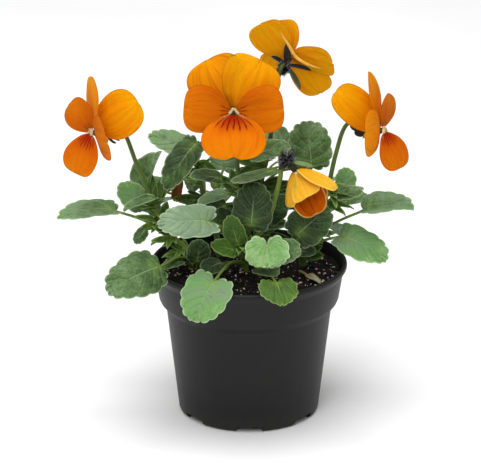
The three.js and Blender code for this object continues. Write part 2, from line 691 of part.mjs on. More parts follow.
const FINISH = {
  pot: { color: "#333332", roughness: 0.55 },
  soil: { color: "#1c1512", roughness: 0.95 },
  green: { color: "#4f7444", roughness: 0.6 },
  petal: { color: "#e87c04", roughness: 0.6 },
  dry: { color: "#6b5238", roughness: 0.8 },
};

const plant = new THREE.Group();
plant.add(part("pot", potSolid(), FINISH.pot));
plant.add(part("soil", soilSolid(), FINISH.soil));
for (const [name, shoot] of Object.entries(SHOOTS))
  plant.add(part(`shoot_${name}`, shootSolid(shoot), FINISH.green));
for (const [name, bloom] of Object.entries(BLOOMS))
  plant.add(part(`petals_${name}`, petals(bloom), FINISH.petal));
for (const [name, [foot, row]] of Object.entries(DRY_LEAVES))
  plant.add(part(`leaf_${name}`, leaf(SMALL_LEAF, at(foot), row), FINISH.dry));

export default plant;
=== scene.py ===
"""A small-flowered orange pansy in a round plastic nursery pot.

Sizes are in millimetres until a piece is finished. +Z is up, +X is right and +Y is the back, and
the origin is the centre of the pot's underside.
"""

import logging
import math
import random
from bisect import bisect_left
from dataclasses import dataclass, replace
from enum import Enum
from functools import cache
from typing import Any, Protocol, Sequence

import bmesh
import bpy
from mathutils import Matrix, Vector, noise


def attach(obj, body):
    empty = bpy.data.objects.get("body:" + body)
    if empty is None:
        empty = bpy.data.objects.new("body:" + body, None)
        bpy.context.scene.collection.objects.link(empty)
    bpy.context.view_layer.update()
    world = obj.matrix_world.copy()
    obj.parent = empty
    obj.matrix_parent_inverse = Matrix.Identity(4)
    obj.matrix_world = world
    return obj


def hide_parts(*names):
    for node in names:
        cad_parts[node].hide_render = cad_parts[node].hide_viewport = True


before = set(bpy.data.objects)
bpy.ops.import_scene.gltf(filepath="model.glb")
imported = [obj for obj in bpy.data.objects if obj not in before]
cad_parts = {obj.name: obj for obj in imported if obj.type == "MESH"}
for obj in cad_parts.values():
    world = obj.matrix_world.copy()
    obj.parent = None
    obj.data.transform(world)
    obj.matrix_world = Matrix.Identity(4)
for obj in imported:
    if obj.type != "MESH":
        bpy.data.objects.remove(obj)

log = logging.getLogger("pansy")

MM = 0.001
Point = tuple[float, float, float]
Span = tuple[float, float]
Stop = tuple[float, str]
UP = Vector((0, 0, 1))


class Slot(Enum):
    """The material slots of the plant."""

    POT = "pot"
    SOIL = "soil"
    GREEN = "green"
    PETAL = "petal"
    DRY = "dry"


class Tone(Enum):
    """How light a leaf is, from deep shade green to pale new growth."""

    # The darker tones are partly painted shade, for leaves that lie deep among the others.
    DEEP = 0.0
    DARK = 0.2
    MID = 0.4
    GREY = 0.6
    FRESH = 0.8
    PALE = 1.0


# Materials


def tint(code: str) -> tuple[float, float, float, float]:
    """Turns a screen colour into one for a node's socket.

    Args:
        code: Six hexadecimal digits.

    Returns:
        The linear colour, opaque.
    """
    parts = [int(code[i : i + 2], 16) / 255 for i in (0, 2, 4)]
    linear = [c / 12.92 if c <= 0.04045 else ((c + 0.055) / 1.055) ** 2.4 for c in parts]
    return (*linear, 1.0)


def row(codes: str, *places: float) -> tuple[Stop, ...]:
    """Lines colours up from 0 to 1.

    Args:
        codes: The colours, apart by spaces.
        places: Where they lie, if they aren't evenly spaced.

    Returns:
        The place and the colour of each.
    """
    names = codes.split()
    return tuple(zip(places or [i / (len(names) - 1) for i in range(len(names))], names))


class Wire:
    """A value that the nodes of a material work out, which can be reckoned with."""

    def __init__(self, recipe: "Recipe", socket: bpy.types.NodeSocket) -> None:
        """Notes the material and the output that gives the value."""
        self.recipe = recipe
        self.socket = socket

    def __add__(self, other: "Wire | float") -> "Wire":
        """The sum of the two."""
        return self.recipe.math("ADD", self, other)

    def __sub__(self, other: "Wire | float") -> "Wire":
        """What is left of it without the other."""
        return self.recipe.math("SUBTRACT", self, other)

    def __mul__(self, other: "Wire | float") -> "Wire":
        """The product of the two."""
        return self.recipe.math("MULTIPLY", self, other)

    def __abs__(self) -> "Wire":
        """Its distance from zero."""
        return self.recipe.math("ABSOLUTE", self)


class Recipe:
    """One material, put together a node at a time. Patterns are scaled in waves a metre."""

    def __init__(self, name: str, **surface: float) -> None:
        """Starts a material.

        Args:
            name: The material's name.
            surface: What is the same all over, by socket name with underscores for spaces.
        """
        self.material = bpy.data.materials.new(name)
        self.material.use_nodes = True
        self.tree = self.material.node_tree
        self.shader = self.tree.nodes["Principled BSDF"]
        for socket, value in surface.items():
            self.shader.inputs[socket.replace("_", " ")].default_value = value

    def node(self, kind: str, inputs: dict[Any, Any], output: Any = 0, **options: Any) -> Wire:
        """Adds a node.

        Args:
            kind: The node's type, without its prefix.
            inputs: A value or a wire for each input, by name or number.
            output: The output that is wanted, by name or number.
            options: The node's own settings.

        Returns:
            The wanted output.
        """
        made = self.tree.nodes.new("ShaderNode" + kind)
        for option, value in options.items():
            setattr(made, option, value)
        for key, value in inputs.items():
            if isinstance(value, Wire):
                self.tree.links.new(value.socket, made.inputs[key])
            else:
                made.inputs[key].default_value = value
        return Wire(self, made.outputs[output])

    def math(self, operation: str, *values: Any) -> Wire:
        """The result of one step of reckoning."""
        return self.node("Math", dict(enumerate(values)), operation=operation)

    def fade(self, value: Wire, ends: Span) -> Wire:
        """A smooth step from 0 at the first end to 1 at the other, which may be the lower."""
        inputs = {"Value": value, "From Min": ends[0], "From Max": ends[1]}
        return self.node("MapRange", inputs, interpolation_type="SMOOTHSTEP")

    def beside(self, turns: Wire) -> Wire:
        """How far a count of turns is from the nearest half, from 0 to one half."""
        return abs(self.math("FRACT", turns) - 0.5)

    def over(self, colour: Any, code: str, share: Wire) -> Wire:
        """A colour with a share of another laid over it."""
        return self.node("Mix", {0: share, 6: colour, 7: tint(code)}, 2, data_type="RGBA")

    def ramp(self, value: Wire, stops: Sequence[Stop]) -> Wire:
        """Finds the colour at a value.

        Args:
            value: From 0 to 1.
            stops: The row of colours.

        Returns:
            The colour.
        """
        made = self.node("ValToRGB", {0: value})
        elements = made.socket.node.color_ramp.elements
        while len(elements) < len(stops):
            elements.new(0.5)
        for element, (place, code) in zip(elements, stops):
            element.position = place
            element.color = tint(code)
        return made

    def spot(self) -> Wire:
        """The place on the plant, in metres."""
        return self.node("TexCoord", {}, "Object")

    def noise(self, where: Wire, scale: float, detail: float = 2.0) -> Wire:
        """Soft noise about one half."""
        return self.node("TexNoise", {"Vector": where, "Scale": scale, "Detail": detail}, "Fac")

    def drift(self, where: Wire, scale: float, detail: float = 2.0) -> Wire:
        """Soft noise about zero."""
        return self.noise(where, scale, detail) - 0.5

    def cells(self, where: Wire, scale: float) -> Wire:
        """The distance to the border between cells."""
        inputs = {"Vector": where, "Scale": scale}
        return self.node("TexVoronoi", inputs, "Distance", feature="DISTANCE_TO_EDGE")

    def join(self, *numbers: Wire) -> Wire:
        """A place made of up to three numbers."""
        return self.node("CombineXYZ", dict(enumerate(numbers)))

    def split(self, place: Wire) -> list[Wire]:
        """The three numbers of a place."""
        return [Wire(self, out) for out in self.node("SeparateXYZ", {0: place}).socket.node.outputs]

    def carried(self, name: str) -> list[Wire]:
        """The three numbers that a surface carries under a name."""
        return self.split(self.node("Attribute", {}, "Vector", attribute_name=name))

    def close(self, colour: Wire, height: Wire, depth: float) -> bpy.types.Material:
        """Finishes the material.

        Args:
            colour: Its colour.
            height: Its relief.
            depth: How deep the relief is, in millimetres.

        Returns:
            The material.
        """
        relief = self.node("Bump", {"Distance": depth * MM, "Height": height})
        self.tree.links.new(colour.socket, self.shader.inputs["Base Color"])
        self.tree.links.new(relief.socket, self.shader.inputs["Normal"])
        return self.material


class Finish(Protocol):
    """Anything that a surface can be made of."""

    def material(self) -> bpy.types.Material:
        """Makes the material."""


@cache
def material_of(finish: Finish) -> bpy.types.Material:
    """The one material of a finish."""
    return finish.material()


@dataclass(frozen=True)
class LeafFinish:
    """A leaf blade: feathered veins, a fine net between them and a thin pale margin."""

    name: str
    tones: tuple[Stop, ...]
    vein: str
    margin: str
    heart: str
    vein_strength: float = 0.42
    side_vein: float = 0.21
    net_strength: float = 0.06
    warmth: float = 0.55
    foot_shade: float = -0.16
    edge_light: float = 0.08
    clouding: float = 0.75
    mottling: float = 0.6
    depth: float = 0.28
    roughness: float = 0.5

    # Patterns, in waves a metre.
    CLOUDS = 160
    MOTTLE = 850
    WANDER = 420
    NET = 620
    GRAIN = 1500

    # Where each part starts to show and where it is full, in shares of the blade or of the way
    # between veins. RIB, LIT_EDGE and MARGIN are in millimetres from the middle or the edge.
    RIB = (0.5, 0.12)
    RIB_RUN = (0.85, 0.3)
    SIDE_VEIN = (0.1, 0.02)
    SIDE_VEIN_RUN = (1.0, 0.5)
    NET_LINE = (0.09, 0.01)
    SHADED_FOOT = (0.9, 0.1)
    LIT_EDGE = (4.5, 0.4)
    MARGIN = (0.7, 0.2)
    WARM_RUN = (0.5, 0.0)
    WARM_WIDTH = (0.75, 0.0)
    SWELLING = (0.0, 0.3)
    MARGIN_LIGHT = (0.45, 0.2)  # what the tone adds to the margin, and what it has without

    def material(self) -> bpy.types.Material:
        """Makes the material.

        Returns:
            The material.
        """
        r = Recipe(self.name, Roughness=self.roughness, Specular_IOR_Level=0.22)
        across, phase, rim = r.carried("fan")
        along, tone, half = r.carried("reach")
        spot = r.spot()
        off = abs(across)
        clouds = r.drift(spot, self.CLOUDS, 4) + r.drift(spot, self.MOTTLE, 3) * self.mottling
        tone = tone + r.fade(along, self.SHADED_FOOT) * self.foot_shade
        tone = tone + r.fade(rim, self.LIT_EDGE) * self.edge_light
        rib = r.fade(off * half, self.RIB) * r.fade(along, self.RIB_RUN)
        beside = r.beside(phase + r.drift(spot, self.WANDER, 1) * 0.2)
        side_vein = r.fade(beside, self.SIDE_VEIN) * r.fade(off, self.SIDE_VEIN_RUN)
        veins = r.math("MAXIMUM", rib, side_vein * self.side_vein)
        net = r.fade(r.cells(spot, self.NET), self.NET_LINE)
        warm = r.fade(along, self.WARM_RUN) * r.fade(off, self.WARM_WIDTH)
        colour = r.ramp(tone + clouds * self.clouding, self.tones)
        colour = r.over(colour, self.vein, net * self.net_strength)
        colour = r.over(colour, self.heart, warm * self.warmth)
        colour = r.over(colour, self.vein, veins * self.vein_strength)
        light = tone * self.MARGIN_LIGHT[0] + self.MARGIN_LIGHT[1]
        colour = r.over(colour, self.margin, r.fade(rim, self.MARGIN) * light)
        relief = r.fade(beside, self.SWELLING) - rib * 0.9 - net * 0.3
        relief = relief + r.noise(spot, self.GRAIN) * 0.3
        return r.close(colour, relief, self.depth)


@dataclass(frozen=True)
class PetalFinish:
    """One face of a petal: colour that changes towards its foot, fine streaks and dark whiskers."""

    name: str
    heart: str
    middle: str
    outer: str
    streak: str
    rim: str
    streaks: float = 0.35
    heart_reach: float = 0.34
    rim_width: float = 0.6
    rim_strength: float = 0.5
    patch: str = ""
    whisker: str = "641405"
    whiskers: float = 0.0
    whisker_reach: float = 0.36
    whisker_spread: float = 0.8
    glow: float = 0.5
    depth: float = 0.7

    # Patterns, the streaks across the petal and the others in waves a metre.
    STREAKS = 6.5
    CLOUDS = 90
    GRAIN = 1800
    WANDER = 260

    # Where each part starts to show and where it is full.
    STREAK = (0.48, 0.68)
    PALE_STREAK = (0.5, 0.3)
    PATCH_RUN = (0.6, 0.12)
    PATCH_WIDTH = (1.0, 0.25)
    LINE = (0.2, 0.08)
    LINE_END = (0.0, 0.12)
    LINE_START = (0.04, 0.09)

    def material(self) -> bpy.types.Material:
        """Makes the material.

        Returns:
            The material.
        """
        r = Recipe(
            self.name, Roughness=0.65, Specular_IOR_Level=0.03, Subsurface_Weight=self.glow,
            Subsurface_Scale=0.002,
        )
        across, along, rim = r.carried("fan")
        streak = r.noise(r.join(across * self.STREAKS, along, r.carried("reach")[1]), 1.0, 4)
        stops = ((0.02, self.heart), (self.heart_reach, self.middle), (0.95, self.outer))
        colour = r.ramp(along + r.drift(r.spot(), self.CLOUDS) * 0.5, stops)
        colour = r.over(colour, self.streak, r.fade(streak, self.STREAK) * self.streaks)
        colour = r.over(colour, self.outer, r.fade(streak, self.PALE_STREAK) * 0.25)
        if self.patch:
            near = r.fade(along, self.PATCH_RUN) * r.fade(abs(across), self.PATCH_WIDTH)
            colour = r.over(colour, self.patch, near)
        if self.whiskers:
            colour = r.over(colour, self.whisker, self.lines(r, across, along) * 0.9)
        edge = r.fade(rim, (self.rim_width, 0.25 * self.rim_width))
        colour = r.over(colour, self.rim, edge * self.rim_strength)
        return r.close(colour, streak + r.noise(r.spot(), self.GRAIN) * 0.3, self.depth)

    def lines(self, r: Recipe, across: Wire, along: Wire) -> Wire:
        """Draws the whiskers, each of its own length.

        Args:
            r: The material.
            across: The place across the petal.
            along: The place along it.

        Returns:
            1 on a whisker and 0 beside it.
        """
        off = abs(across)
        turns = across * self.whiskers
        own = r.drift(r.join(r.math("ROUND", turns) * 3.7), 1.0) * 0.5
        left = off * -0.16 + self.whisker_reach + own - along
        beside = r.beside(turns + r.drift(r.spot(), self.WANDER, 1) * 0.5 + 10.5)
        line = r.fade(beside, self.LINE) * r.fade(left, self.LINE_END)
        line = line * r.fade(along, self.LINE_START)
        return line * r.fade(off, (self.whisker_spread + 0.1, self.whisker_spread))


@dataclass(frozen=True)
class StalkFinish:
    """Stems, leaf stalks and sepals: fine ribs along a colour that changes with its tone."""

    name: str
    tones: tuple[Stop, ...]
    rib: str
    roughness: float = 0.5
    depth: float = 0.25

    CLOUDS = 120
    RIB = (0.5, 0.7)

    def material(self) -> bpy.types.Material:
        """Makes the material.

        Returns:
            The material.
        """
        r = Recipe(self.name, Roughness=self.roughness, Specular_IOR_Level=0.35)
        across, along, _ = r.carried("fan")
        tone = r.carried("reach")[1]
        ribs = r.noise(r.join(across * 6.0, along * 2.0, tone), 1.0, 3)
        colour = r.ramp(tone + r.drift(r.spot(), self.CLOUDS, 3) * 0.5, self.tones)
        colour = r.over(colour, self.rib, r.fade(ribs, self.RIB) * 0.5)
        return r.close(colour, ribs, self.depth)


@dataclass(frozen=True)
class MottleFinish:
    """Small solid things: a row of colours spread by noise over a rough surface."""

    name: str
    tones: tuple[Stop, ...]
    scale: float
    depth: float
    roughness: float = 0.8

    SPREAD = (0.3, 0.7)
    FINER = 2.5

    def material(self) -> bpy.types.Material:
        """Makes the material.

        Returns:
            The material.
        """
        r = Recipe(self.name, Roughness=self.roughness, Specular_IOR_Level=0.2)
        colour = r.ramp(r.fade(r.noise(r.spot(), self.scale, 4), self.SPREAD), self.tones)
        return r.close(colour, r.noise(r.spot(), self.FINER * self.scale, 3), self.depth)


@dataclass(frozen=True)
class PotFinish:
    """Moulded charcoal plastic: fine grain, faint scuffs and a trace of dust at its foot."""

    name: str = "pot_plastic"
    colour: str = "101010"
    worn: str = "191918"
    dust: str = "45433e"
    dust_height: float = 0.012
    depth: float = 0.09

    SCUFFS = 26
    SPECKS = 300
    GRAIN = 2600
    RINGS = 60
    FLATTER = (1.0, 1.0, 14.0)  # what makes rings of the noise
    SCUFF = (0.45, 0.8)

    def material(self) -> bpy.types.Material:
        """Makes the material.

        Returns:
            The material.
        """
        r = Recipe(self.name, Roughness=0.5, Specular_IOR_Level=0.25)
        spot = r.spot()
        worn = r.fade(r.noise(spot, self.SCUFFS, 6), self.SCUFF)
        low = r.fade(r.split(spot)[2], (self.dust_height, 0.0)) * r.noise(spot, self.SPECKS, 4)
        colour = r.over(tint(self.colour), self.worn, worn * 0.5)
        colour = r.over(colour, self.dust, low * 0.35)
        stretch = r.node("Mapping", {"Vector": spot, "Scale": self.FLATTER})
        relief = r.noise(spot, self.GRAIN) * 0.5 + r.noise(stretch, self.RINGS) * 0.35
        return r.close(colour, relief, self.depth)


LEAF_TONES = row("1e3413 2f4820 50703b 758f6a 679751 88ac6c")
UNDER_TONES = row("4a6340 72906a 98b886")
YOUNG_TONES = row("243e14 466c1c 7aa238")
STEM_TONES = row("2f4413 567028 839a3a")
SEPAL_TONES = row("121011 26222a 3f4a26 6f8a50", 0.0, 0.35, 0.6, 1.0)

LEAF_FACE = LeafFinish("leaf_face", LEAF_TONES, "a9c291", "bcd2aa", "83a646")
# A paler, greyer copy of the leaf face for one leaf, whose pale blue-grey sheen is painted in.
FROSTED_SHEEN_LEAF = replace(LEAF_FACE, name="frosted_sheen_leaf", tones=row("587250 778f70 98b08c", 0.0, 0.6, 1.0))
LEAF_BACK = LeafFinish("leaf_back", UNDER_TONES, "b2c69e", "a9c497", "93ab66", depth=0.3, roughness=0.7)
YOUNG_LEAF = LeafFinish("young_leaf", YOUNG_TONES, "9dbb62", "a8c478", "8fb04a", depth=0.3)
DRY_LEAF = LeafFinish(
    "dry_leaf", row("5a3210 84521e 93a083"), "9a6c34", "8a5c28", "84521e", roughness=0.8
)
STEM = StalkFinish("stem", STEM_TONES, "879a4e")
SEPAL = StalkFinish("sepal", SEPAL_TONES, "403d4a")

PETAL_UPPER = PetalFinish(
    "petal_upper", "7c4203", "c26a02", "e29203", "a05402", "86601a", streaks=0.5, heart_reach=0.24
)
# A lighter copy of the upper petals' colour: painted light on the upper right petals.
PETAL_UPPER_LIT = replace(
    PETAL_UPPER, name="petal_upper_lit", heart="8e4a02", middle="d07602", outer="ea9e03", streak="b86802",
    streaks=0.28,
)
PETAL_SIDE = PetalFinish(
    "petal_side", "ae5202", "ba5a02", "cf7204", "9a4802", "7c5414", streaks=0.25, whiskers=3.5,
    whisker_spread=0.5,
)
# A lighter copy of the side petals' colour, without whiskers: painted light on petals that face sideways,
# away from the lamps.
PETAL_EDGE_LIT = replace(PETAL_SIDE, name="petal_edge_lit", middle="da7604", outer="ea9008", whiskers=0.0)
PETAL_LOWER = PetalFinish(
    "petal_lower", "a83005", "e87403", "ee8408", "c25403", "8a5c14", streaks=0.3, patch="a42604",
    whiskers=4.5, whisker_reach=0.48,
)
# A darker copy of the lower petal's colour: painted shade on lower petals turned aside.
PETAL_TURNED_SHADED = replace(PETAL_LOWER, name="petal_turned_shaded", middle="c45a02", outer="d27204")
PETAL_BACK = PetalFinish("petal_back", "cc8c0a", "e0a00a", "ecae0c", "c4800a", "8f6a20")
HOOD_INSIDE = PetalFinish(
    "hood_inside", "742204", "a84404", "c86408", "8e3604", "f0b95e", streaks=0.6, rim_width=0.9,
    rim_strength=0.85,
)
HOOD_OUTSIDE = PetalFinish(
    "hood_outside", "da8610", "eca222", "f2b236", "d88214", "f6c866", rim_width=0.8, rim_strength=0.6
)

# Folded petal edges, brighter than the petal's back: painted highlight where the fold catches the light.
CREASE = MottleFinish("crease", row("f4b23c ffc964"), 300, 0.03)
BEARD = MottleFinish("beard", row("e9c98c f7e6bd"), 900, 0.05)
DOWN = MottleFinish("down", row("e08a4a f0b48a"), 900, 0.02)
THROAT = MottleFinish("throat", row("14180a 3c4410"), 700, 0.05, 0.5)
# Pale grey hairs among the dark ones on the calyx: painted sheen on its hairs.
SHEEN_HAIR = MottleFinish("hair", row("6c6a78 a8a8b4"), 900, 0.02, 0.5)
SOIL_BED = MottleFinish("soil", row("060504 15110e 281e18", 0.0, 0.55, 1.0), 380, 1.1, 0.95)
BARK = MottleFinish("bark", row("20160f 43302a 75604f", 0.0, 0.6, 1.0), 500, 0.4, 0.9)
PERLITE = MottleFinish("perlite", row("b49c90 e6dad1"), 800, 0.3, 0.85)
WHITE_FLOOR = MottleFinish("floor", row("f4f4f4 fafafa"), 4, 0)
PLASTIC = PotFinish()


# Shapes


def mesh_of(name: str, bm: bmesh.types.BMesh) -> bpy.types.Mesh:
    """Makes a mesh of a shape, which is used up.

    Args:
        name: The mesh's name.
        bm: The shape.

    Returns:
        The mesh.
    """
    mesh = bpy.data.meshes.new(name)
    bm.to_mesh(mesh)
    bm.free()
    return mesh


def shown(name: str, data: bpy.types.ID) -> bpy.types.Object:
    """Puts a mesh, a lamp or a camera in the scene.

    Args:
        name: The object's name.
        data: What it shows.

    Returns:
        The new object.
    """
    thing = bpy.data.objects.new(name, data)
    bpy.context.scene.collection.objects.link(thing)
    return thing


def edges_of(verts: Sequence[bmesh.types.BMVert]) -> list[bmesh.types.BMEdge]:
    """The edges that vertices belong to, in a fixed order."""
    return list(dict.fromkeys(edge for vert in verts for edge in vert.link_edges))


def faces_of(verts: Sequence[bmesh.types.BMVert]) -> list[bmesh.types.BMFace]:
    """The faces that vertices belong to, in a fixed order."""
    return list(dict.fromkeys(face for vert in verts for face in vert.link_faces))


def turned(bm: bmesh.types.BMesh, section: Sequence[Span], steps: int) -> None:
    """Turns a section round the upright axis.

    Args:
        bm: Where it is made.
        section: Its points, as radius and height.
        steps: Faces round it.
    """
    verts = [bm.verts.new((radius, 0, height)) for radius, height in section]
    edges = [bm.edges.new(pair) for pair in zip(verts, verts[1:])]
    bmesh.ops.spin(
        bm, geom=verts + edges, cent=(0, 0, 0), axis=(0, 0, 1), angle=2 * math.pi, steps=steps,
        use_merge=True, use_duplicate=False,
    )
    bmesh.ops.remove_doubles(bm, verts=bm.verts, dist=1e-4)
    bmesh.ops.recalc_face_normals(bm, faces=bm.faces)


def rounded(bm: bmesh.types.BMesh, edges: Sequence[bmesh.types.BMEdge], radius: float) -> None:
    """Rounds edges off."""
    bmesh.ops.bevel(
        bm, geom=edges, offset=radius, offset_type="OFFSET", segments=3, profile=0.5, affect="EDGES",
        material=-1, clamp_overlap=True,
    )


def framed(along: Vector, face: Vector) -> tuple[Vector, Vector]:
    """The crosswise directions of something that runs one way and faces another.

    Args:
        along: The unit direction it runs in.
        face: The way it faces.

    Returns:
        The unit directions across it and out of its face.
    """
    normal = (face - along * face.dot(along)).normalized()
    return along.cross(normal), normal


class Path:
    """A smooth curve through points."""

    STEPS = 200  # where its length is measured

    def __init__(self, points: Sequence[Sequence[float]]) -> None:
        """Draws the curve and measures it.

        Args:
            points: What it passes through.
        """
        self.points = [Vector(p) for p in points]
        spots = [self.at(i / self.STEPS) for i in range(self.STEPS + 1)]
        self.lengths = [0.0]
        for a, b in zip(spots, spots[1:]):
            self.lengths.append(self.lengths[-1] + (b - a).length)

    def at(self, share: float) -> Vector:
        """Finds a point by the spans between the points.

        Args:
            share: From 0 to 1, with the same share for each span.

        Returns:
            The point on the curve.
        """
        last = len(self.points) - 1
        span = min(int(share * last), last - 1)
        t = share * last - span
        b, c = self.points[span], self.points[span + 1]
        a = self.points[span - 1] if span else 2 * b - c
        d = self.points[span + 2] if span + 2 <= last else 2 * c - b
        before, here, after = ((q - p).length ** 0.5 for p, q in ((a, b), (b, c), (c, d)))
        start = ((b - a) / before - (c - a) / (before + here) + (c - b) / here) * here
        end = ((c - b) / here - (d - b) / (here + after) + (d - c) / after) * here
        bend = 3 * (c - b) - 2 * start - end
        return b + start * t + bend * t**2 + (2 * (b - c) + start + end) * t**3

    def along(self, share: float) -> Vector:
        """Finds a point by the curve's length.

        Args:
            share: From 0 at its start to 1 at its end.

        Returns:
            The point on the curve.
        """
        goal = share * self.lengths[-1]
        step = max(1, bisect_left(self.lengths, goal))
        low, high = self.lengths[step - 1], self.lengths[step]
        return self.at((step - 1 + (goal - low) / (high - low)) / self.STEPS)


@dataclass(frozen=True)
class BladeForm:
    """Outline and rise of a blade, as shares of its size.

    taper above 0 makes it widest near its base, heart sets the lobes beside the stalk, blunt below
    1 squares it off and claw narrows its foot. arch, fold and cup are the rise along its middle,
    the rise of its halves and the curl of its edges, and ruffle is the wave of its margin. quilt,
    the rise between side veins, and thickness are in millimetres.
    """

    rows: int
    columns: int
    taper: float = 0.0
    heart: float = 0.0
    blunt: float = 0.8
    claw: float = 0.0
    teeth: float = 0.0
    tooth: float = 0.0
    notch: float = 0.0
    arch: float = 0.0
    fold: float = 0.0
    cup: float = 0.0
    ruffle: float = 0.0
    waves: float = 5.0
    quilt: float = 0.0
    thickness: float = 0.45

    SWEEP = 0.24  # how far the side veins run towards the tip, as a share of the length
    START = 0.07  # where the outline begins and ends, in radians from the base and the tip

    def point(self, length: float, width: float, u: float, v: float) -> tuple[Vector, float]:
        """A point of the middle surface.

        Args:
            length: From base to tip.
            width: From edge to edge.
            u: From -1 at one edge to 1 at the other.
            v: From 0 at the base to 1 at the tip.

        Returns:
            The point across, along and out of the blade, and half the blade's width there.
        """
        # The outline, with its teeth: half the width, and how far along the edge lies.
        angle = self.START + (math.pi - 2 * self.START) * v
        blunt = self.blunt + (2 * self.heart if angle < math.pi / 2 else 0)
        side = math.sin(angle) ** blunt * (1 + self.taper * math.cos(angle))
        side *= 1 - self.claw * (1 - v) ** 4
        tooth = 1.0
        if self.teeth:
            tooth += self.tooth * (abs(math.sin(self.teeth * math.pi * v)) ** 0.5 - 0.75)
        half = 0.5 * width * side * tooth
        edge = 0.5 * length * (1 - math.cos(angle))
        if angle < math.pi / 2:
            edge -= self.heart * length * math.sin(2 * angle)
        edge = 0.5 * length + (edge - 0.5 * length) * tooth
        # The rows, which bow from the middle to the edge.
        middle = length * v**1.25 * (1 - self.notch * v**6)
        off = abs(u)
        y = middle + (edge - middle) * off**1.3
        # The rise: the arch, the fold and cup, the ruffled margin and the swelling between veins.
        rise = self.arch * length * 4 * v * (1 - v)
        rise += width * (0.5 * self.fold * off + 0.5 * self.cup * off**2) * side
        round_it = math.atan2(u, 2 * v - 1)
        margin = max(off, 2 * v - 1) ** 4 * min(1.0, 3 * v)
        rise += self.ruffle * width * margin * math.sin(self.waves * round_it + 7 * width)
        swell = 0.5 - abs(math.sin(self.teeth * math.pi * (v - self.SWEEP * off)))
        rise += self.quilt * swell * off * (1 - off**3)
        return Vector((u * half, y, rise)), half


